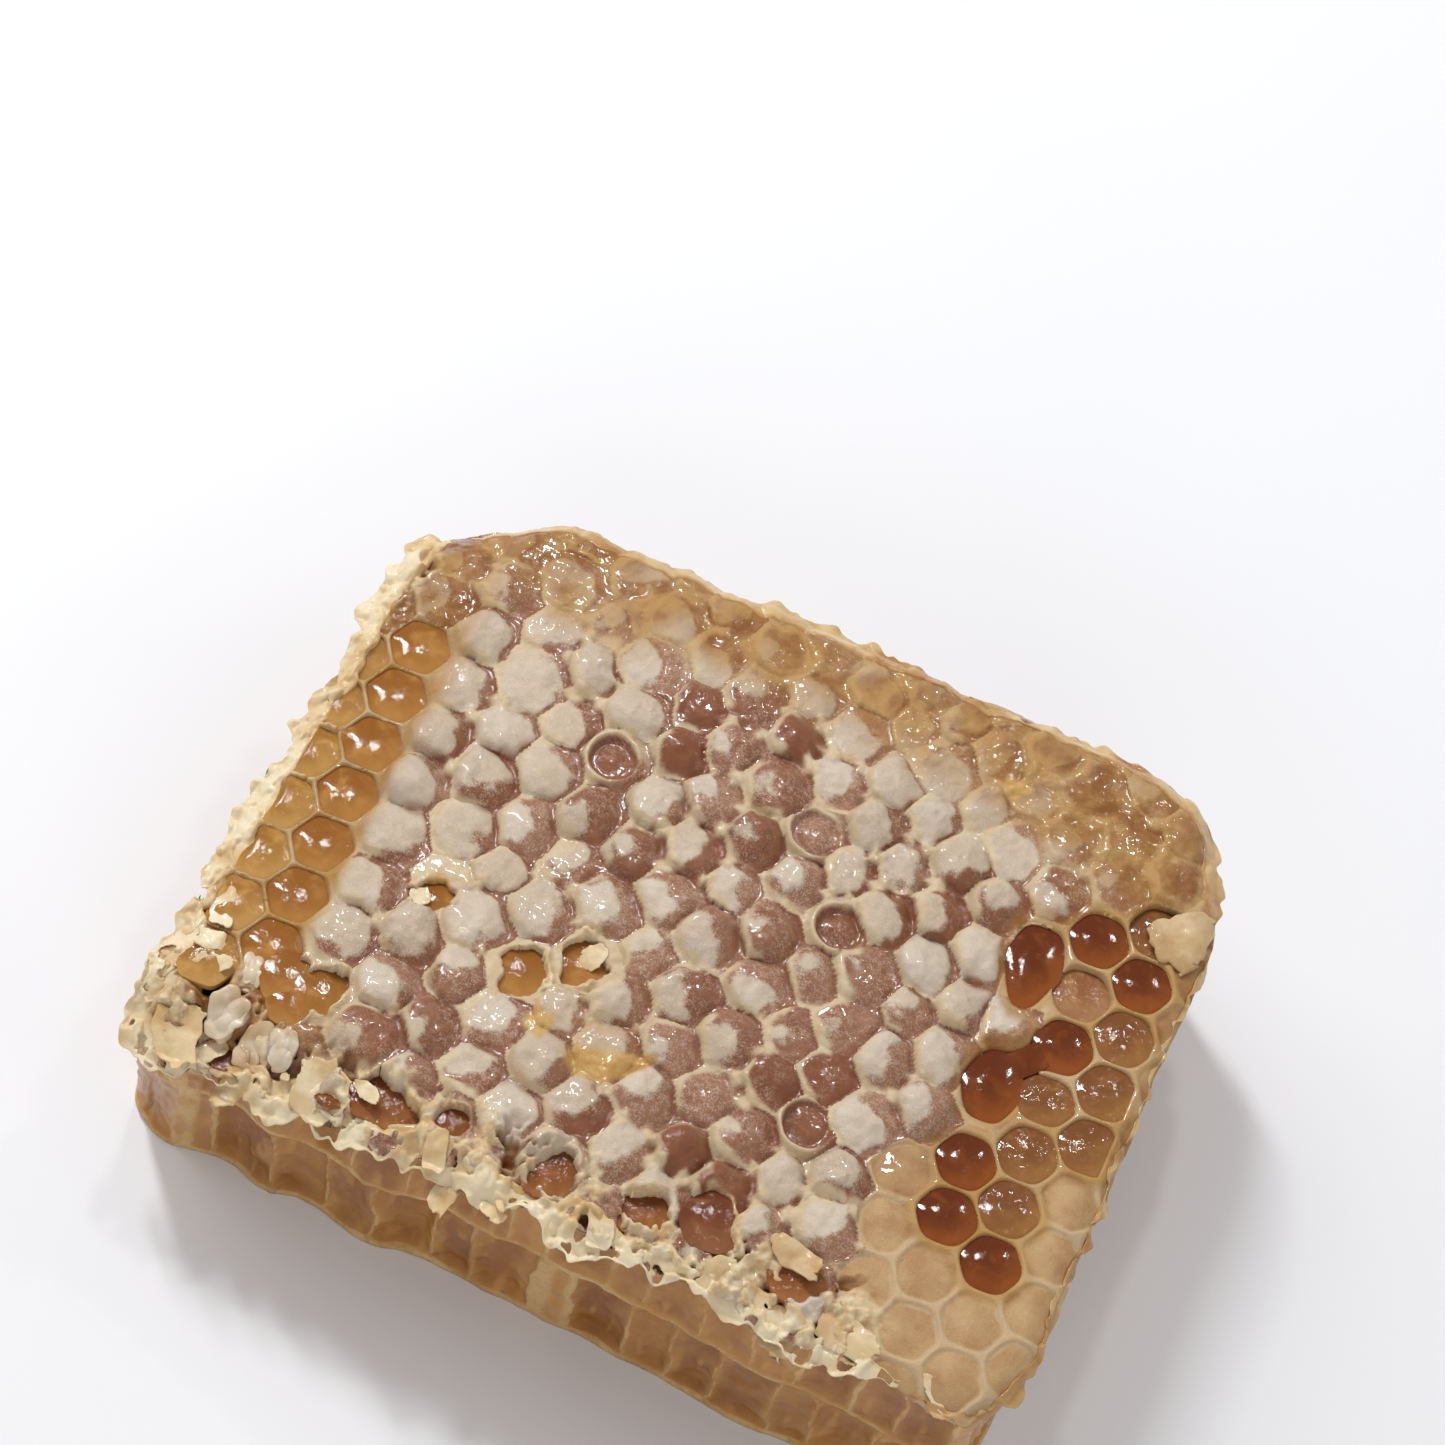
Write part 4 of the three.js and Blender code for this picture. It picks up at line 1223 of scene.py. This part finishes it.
FLAG = (36.5, 15.4, 60, 6.6, 4.2, 0.6, 4, 0.04, 0.2)
# Thick soft lumps of wax.
WAX_LOBES = [
    (12.4, -26.2, 20, 3.8, 2.8, 0.0, 0, 0.3, 0.3),
    (17.0, -25.0, 345, 4.8, 2.2, 0.05, 0, 0.25, 0.3),
    (23.4, -28.8, 346, 5.4, 3.2, -0.1, -4, 0.25, 0.3),
    (20.2, -29.6, 268, 3.6, 3.4, -0.1, -22, 0.2, 0.3),
    (15.8, -29.2, 190, 4.2, 2.8, -0.1, -4, 0.2, 0.3),
]
# Wet white lumps over the torn corner.
WHITE_LUMPS = [
    (-32.1, -19.8, 262, 3.6, 2.4, 0.0, 0, 0.0, 0.9),
    (-31.9, -24.0, 240, 3.8, 3.4, -0.05, 4, 0.0, 0.9),
    (-29.9, -25.6, 300, 3.8, 3.4, -0.15, -4, 0.0, 0.7),
    (-27.2, -25.0, 275, 3.0, 2.4, -0.2, -4, 0.0, 0.7),
]
SOFT_FROM = 0.5  # lumps thicker than this are rounded and crumpled, the rest ragged and flat


def crumb_list():
    """Small torn bits: along the near edge and round the torn corner."""
    crumbs = []
    for count, seed, wide, x0, y0, deep in ((16, 26, 58, -36, -27.0, -3.8),
                                            (6, 27, 7, -39.0, -18.0, -12.0)):
        for n in range(count):
            part = {k: chance(n, k, seed) for k in range(7, 15)}
            x, y = x0 + wide * part[7], y0 + deep * part[8]
            place = (np.array([x]), np.array([y]), np.array([9.0]))
            if beyond_openings(*place, ("honey_torn",))[0] >= 0.5:
                crumbs.append((x, y, 360 * part[9], 0.6 + 1.3 * part[10] ** 2,
                               0.4 + 0.8 * part[11], 0.12 * part[14], -5 + 22 * part[12],
                               0.5 * part[13], 0.12))
    return crumbs


def crumpled_outline(a, b, number, thick):
    """The outline of a lump, and how far its crumpled top stands up."""
    a, b = a * np.sqrt(1 - b * b / 2), b * np.sqrt(1 - a * a / 2)
    crown = 0.35 * thick * (1 - a * a - b * b)
    for fineness, height, seed in ((1.7, 0.30, 126), (3.6, 0.14, 127)):
        crown = crown + height * grain(fineness * a + number * 5.1, fineness * b, 1.0, seed)
    around, bulge = np.arctan2(b, a), 1
    for fineness, height, seed in ((1.7, 0.30, 121), (4.0, 0.09, 122)):
        ring_x, ring_y = fineness * np.cos(around) + number * 3.7, fineness * np.sin(around)
        bulge = bulge + height * grain(ring_x, ring_y, 1.0, seed)
    return a * bulge, b * bulge, crown


def torn_outline(a, b, number, pointed):
    """The outline of a torn sheet."""
    a, b = a * (1 - 0.2 * b * b), b * (1 - 0.2 * a * a)
    amounts = (0.26, 0.16, 0.09)
    if pointed:
        b, amounts = b * (1 - 0.4 * a), (0.08, 0.11, 0.13)
    for fineness, amount, seed in zip((0.9, 2.3, 5.2), amounts, (121, 122, 123)):
        amount = amount * np.maximum(abs(a), abs(b)) ** (fineness - 0.9)
        u, v = a * fineness, b * fineness
        first = grain(u + number * 3.7, v - number * 2.3, 1.0, seed)
        second = grain(u + number * 1.9, v + number * 4.1, 1.0, seed + 20)
        a, b = a + amount * first, b + amount * second
    return a, b


def torn_sheet(number, count, root_height, x, y, toward, length, width, lift, slope, curl,
               thick=SHEET_THICK):
    """A sheet that lies on the comb by its root and lifts or hangs at its tip."""
    piece, u, v = flat_grid(f"sheet_{number}", count, count)
    a, b, crown = 2 * u - 1, 2 * v - 1, 0 * u
    if thick > SOFT_FROM:
        a, b, crown = crumpled_outline(a, b, number, thick)
    else:
        a, b = torn_outline(a, b, number, length > 6)
    along, side = (a + 0.8) * length / 2, b * width / 2
    tilt, turn = math.radians(slope), math.radians(toward)
    curled = curl * length * 0.5 * np.clip(along / length, 0, 1.2) ** 3
    fold = max(min(0.10 * length, 2.2 / length - 0.2), 0.06)
    lifted = along * math.sin(tilt) + curled + crown
    lifted = lifted + fold * grain(along + number * 11, side, 1.6, 124)
    lifted = lifted + 0.3 * fold * grain(along, side + number * 7, 0.6, 125)
    ahead = along * math.cos(tilt)
    wx = x + ahead * math.cos(turn) - side * math.sin(turn)
    wy = y + ahead * math.sin(turn) + side * math.cos(turn)
    drop = rim_level(wx, wy) - edge_drop(wx, wy) - rim_level(x, y)
    move_points(piece, placed(wx, wy, root_height + drop + lift + lifted))
    mark(piece, {"root": ease(0.5, -0.1, along / length),
                 "tone": chance(number, 1, 41) + 0 * along})
    thicken(piece, thick)
    if thick > 0.6:
        soft = piece.modifiers.new("soft", "SUBSURF")
        soft.levels = soft.render_levels = 1
        bpy.ops.object.modifier_apply(modifier=soft.name)
    return piece


def join_sheets(name, sheets, finish, first_number):
    """Makes sheets, each a few points across and rooted in the surface, and joins them."""
    x, y = np.array([sheet[1][:2] for sheet in sheets]).T
    drop = edge_drop(x, y)
    base = rim_level(x, y) - drop
    heights = np.clip(wax_surface(x, y)[0], base - 0.5, base + 0.9) + drop
    made = [torn_sheet(first_number + n, count, heights[n], *sheet)
            for n, (count, sheet) in enumerate(sheets)]
    pick(*made)
    bpy.ops.object.join()
    piece = start_piece(name)
    smooth(piece)
    wear(piece, finish)
    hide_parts("comb")


def torn_band(name, start, end, inner, outer, seed, finish, holes_from=9.0, lift_share=1.0):
    """A lacy lip of torn wax along the edge: it lies on the crust and hangs out in teeth."""
    first, last = closest(SMOOTH_EDGE, start), closest(SMOOTH_EDGE, end)
    last = last + len(EDGE) if last < first else last
    long = (last - first) * EDGE_STEP
    counts = round(long / BAND_STEP), round((inner + outer + 1.2) / BAND_STEP)
    piece, u, v = flat_grid(name, *counts)
    at = np.round(first + u * (last - first)).astype(int) % len(EDGE)
    walk = u * long + seed * 13.0
    beyond = outer + waves(walk, 0 * walk, (1.0, 4.4, seed), (0.8, 1.6, seed + 1),
                           (0.30, 0.6, seed + 2))
    within = inner * (1 + waves(walk, 0 * walk, (0.35, 4.2, seed + 3), (0.2, 1.5, seed + 4)))
    taper = ease(0.0, 0.04, u) * ease(1.0, 0.92, u)
    out = (v * (within + beyond) - within) * (0.15 + 0.85 * taper)
    x, y = (SMOOTH_EDGE[at, n] + OUTWARD[at, n] * out + 0.12 * grain(walk, out, 0.8, seed + 5 + n)
            for n in (0, 1))
    level = rim_level(x, y) - rounded_edge(distance_to_edge(x, y))
    lies = np.clip(wax_surface(x, y)[0], level - 0.35, level + 0.8)
    flaps = 0.45 * ease(0.2, 0.8, grain(x, y, 2.8, seed + 8)) * v
    lift = (0.10 + 0.16 * grain(x, y, 1.7, seed + 7) + flaps) * lift_share
    lift = (lift - 0.5 * ease(0.10, 0.0, v)) * (0.3 + 0.7 * taper)
    droop = 0.22 * np.clip(out, 0, None) ** 1.5
    move_points(piece, placed(x, y, lies + lift - droop))
    mark(piece, {"root": ease(0.55, 0.0, v), "tone": 0.5 + 0.7 * grain(x, y, 4.5, seed + 9)})
    holes = rough_grain(x, y, 1.5, seed + 10) > holes_from
    edit(piece)
    end_edit()
    piece.data.vertices.foreach_set("select", holes & (v > 0.12) & (v < 0.9))
    bpy.ops.object.mode_set(mode="EDIT")
    bpy.ops.mesh.delete(type="VERT")
    edit_border(piece)
    bpy.ops.mesh.vertices_smooth(factor=0.5, repeat=2)
    end_edit()
    thicken(piece, BAND_THICK)
    smooth(piece)
    wear(piece, finish)
    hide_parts("comb")


torn_band("torn_lip_near", (-39.4, -17.0), (31.0, -31.5), 2.4, 0.85, 151, TORN_WAX, 0.45)
torn_band("torn_lip_left", (-36.0, 25.5), (-39.2, -16.0), 1.6, 0.95, 171, TORN_WAX)
torn_band("torn_lip_right", (32.0, -31.0), (39.6, 17.0), 0.3, 0.15, 191, TAN_EDGE)
torn_band("torn_lip_far", (39.0, 19.0), (-34.5, 26.5), 1.2, 0.45, 211, TAN_EDGE, lift_share=0.35)
torn_bits = [(24, sheet) for sheet in TORN_SHEETS] + [(5, crumb) for crumb in crumb_list()]
join_sheets("torn_wax_sheets", torn_bits, TORN_WAX, 0)
join_sheets("torn_flag", [(30, FLAG)], FLAG_WAX, 400)
join_sheets("wax_lobes", [(22, lobe) for lobe in WAX_LOBES], LOBE_WAX, 200)
join_sheets("white_wax_lumps", [(20, lump) for lump in WHITE_LUMPS], WHITE_WAX, 300)


# ---- floor, lights and camera ----

def floor_finish():
    f = Finish("pale_floor")
    return f.end(f.mix(f.noise(60, 2), (238, 238, 240), (232, 233, 236)), 0.6)


pick()
bpy.ops.mesh.primitive_plane_add(size=3)
floor = start_piece("floor")
floor.data.materials.append(floor_finish())

# Direction, distance, size, strength and colour; only the small ones are mirrored in honey.
LIGHTS = {
    "left_panel": ((-0.75, 0.25, 0.62), 0.80, (0.55, 0.45), 1.97, (1.0, 0.98, 0.95)),
    "near_panel": ((0.20, -0.88, 0.50), 0.80, (0.80, 0.50), 1.95, (1.0, 0.985, 0.96)),
    "right_panel": ((0.90, 0.10, 0.55), 0.80, (0.60, 0.40), 0.96, (1.0, 0.985, 0.96)),
    "far_panel": ((0.10, 0.93, 0.36), 0.80, (0.80, 0.22), 0.5, (0.97, 0.985, 1.0)),
    "window": ((-0.46, 0.42, 0.78), 0.75, (0.05, 0.22), 2.85, (0.95, 0.97, 1.0)),
    "lamp": ((-0.16, 0.44, 0.88), 0.9, (0.05, 0.05), 0.8, (1.0, 0.98, 0.96)),
    "second_lamp": ((0.22, 0.62, 0.75), 0.9, (0.04, 0.04), 0.45, (1.0, 0.98, 0.96)),
}
for name, (direction, away, size, watts, colour) in LIGHTS.items():
    light = bpy.data.lights.new(name, "AREA")
    light.shape = "RECTANGLE"
    light.size, light.size_y = size
    light.energy = watts
    light.color = colour
    holder = bpy.data.objects.new(name, light)
    holder.visible_glossy = "panel" not in name
    bpy.context.scene.collection.objects.link(holder)
    way = Vector(direction).normalized()
    place = Matrix.Translation(way * away + Vector((0, 0, 0.02)))
    holder.matrix_world = place @ way.to_track_quat("Z", "Y").to_matrix().to_4x4()

world = bpy.data.worlds.new("studio")
bpy.context.scene.world = world
world.use_nodes = True
world.node_tree.nodes["Background"].inputs["Color"].default_value = (0.94, 0.95, 1.0, 1.0)
world.node_tree.nodes["Background"].inputs["Strength"].default_value = 0.257

CAMERA_AT = (24.48, -171.49, 350.62)
CAMERA_AZIMUTH, CAMERA_ELEVATION, CAMERA_ROLL = 9.32, 59.58, 16.58
LENS = 108.17


def camera():
    a, e, r = (math.radians(value) for value in (CAMERA_AZIMUTH, CAMERA_ELEVATION, CAMERA_ROLL))
    back = Vector((math.sin(a) * math.cos(e), -math.cos(a) * math.cos(e), math.sin(e)))
    level = Vector((math.cos(a), math.sin(a), 0))
    rise = back.cross(level)
    across = level * math.cos(r) + rise * math.sin(r)
    up = back.cross(across)
    eye = bpy.data.cameras.new("camera")
    eye.lens, eye.sensor_width, eye.sensor_fit = LENS, 36, "HORIZONTAL"
    holder = bpy.data.objects.new("camera", eye)
    bpy.context.scene.collection.objects.link(holder)
    place = Vector((CAMERA_AT[0] + SHIFT[0], CAMERA_AT[1] + SHIFT[1], CAMERA_AT[2])) * MM
    turned = Matrix((across, up, back)).transposed().to_4x4()
    holder.matrix_world = Matrix.Translation(place) @ turned
    bpy.context.scene.camera = holder


camera()
bpy.context.scene.view_settings.view_transform = "Standard"
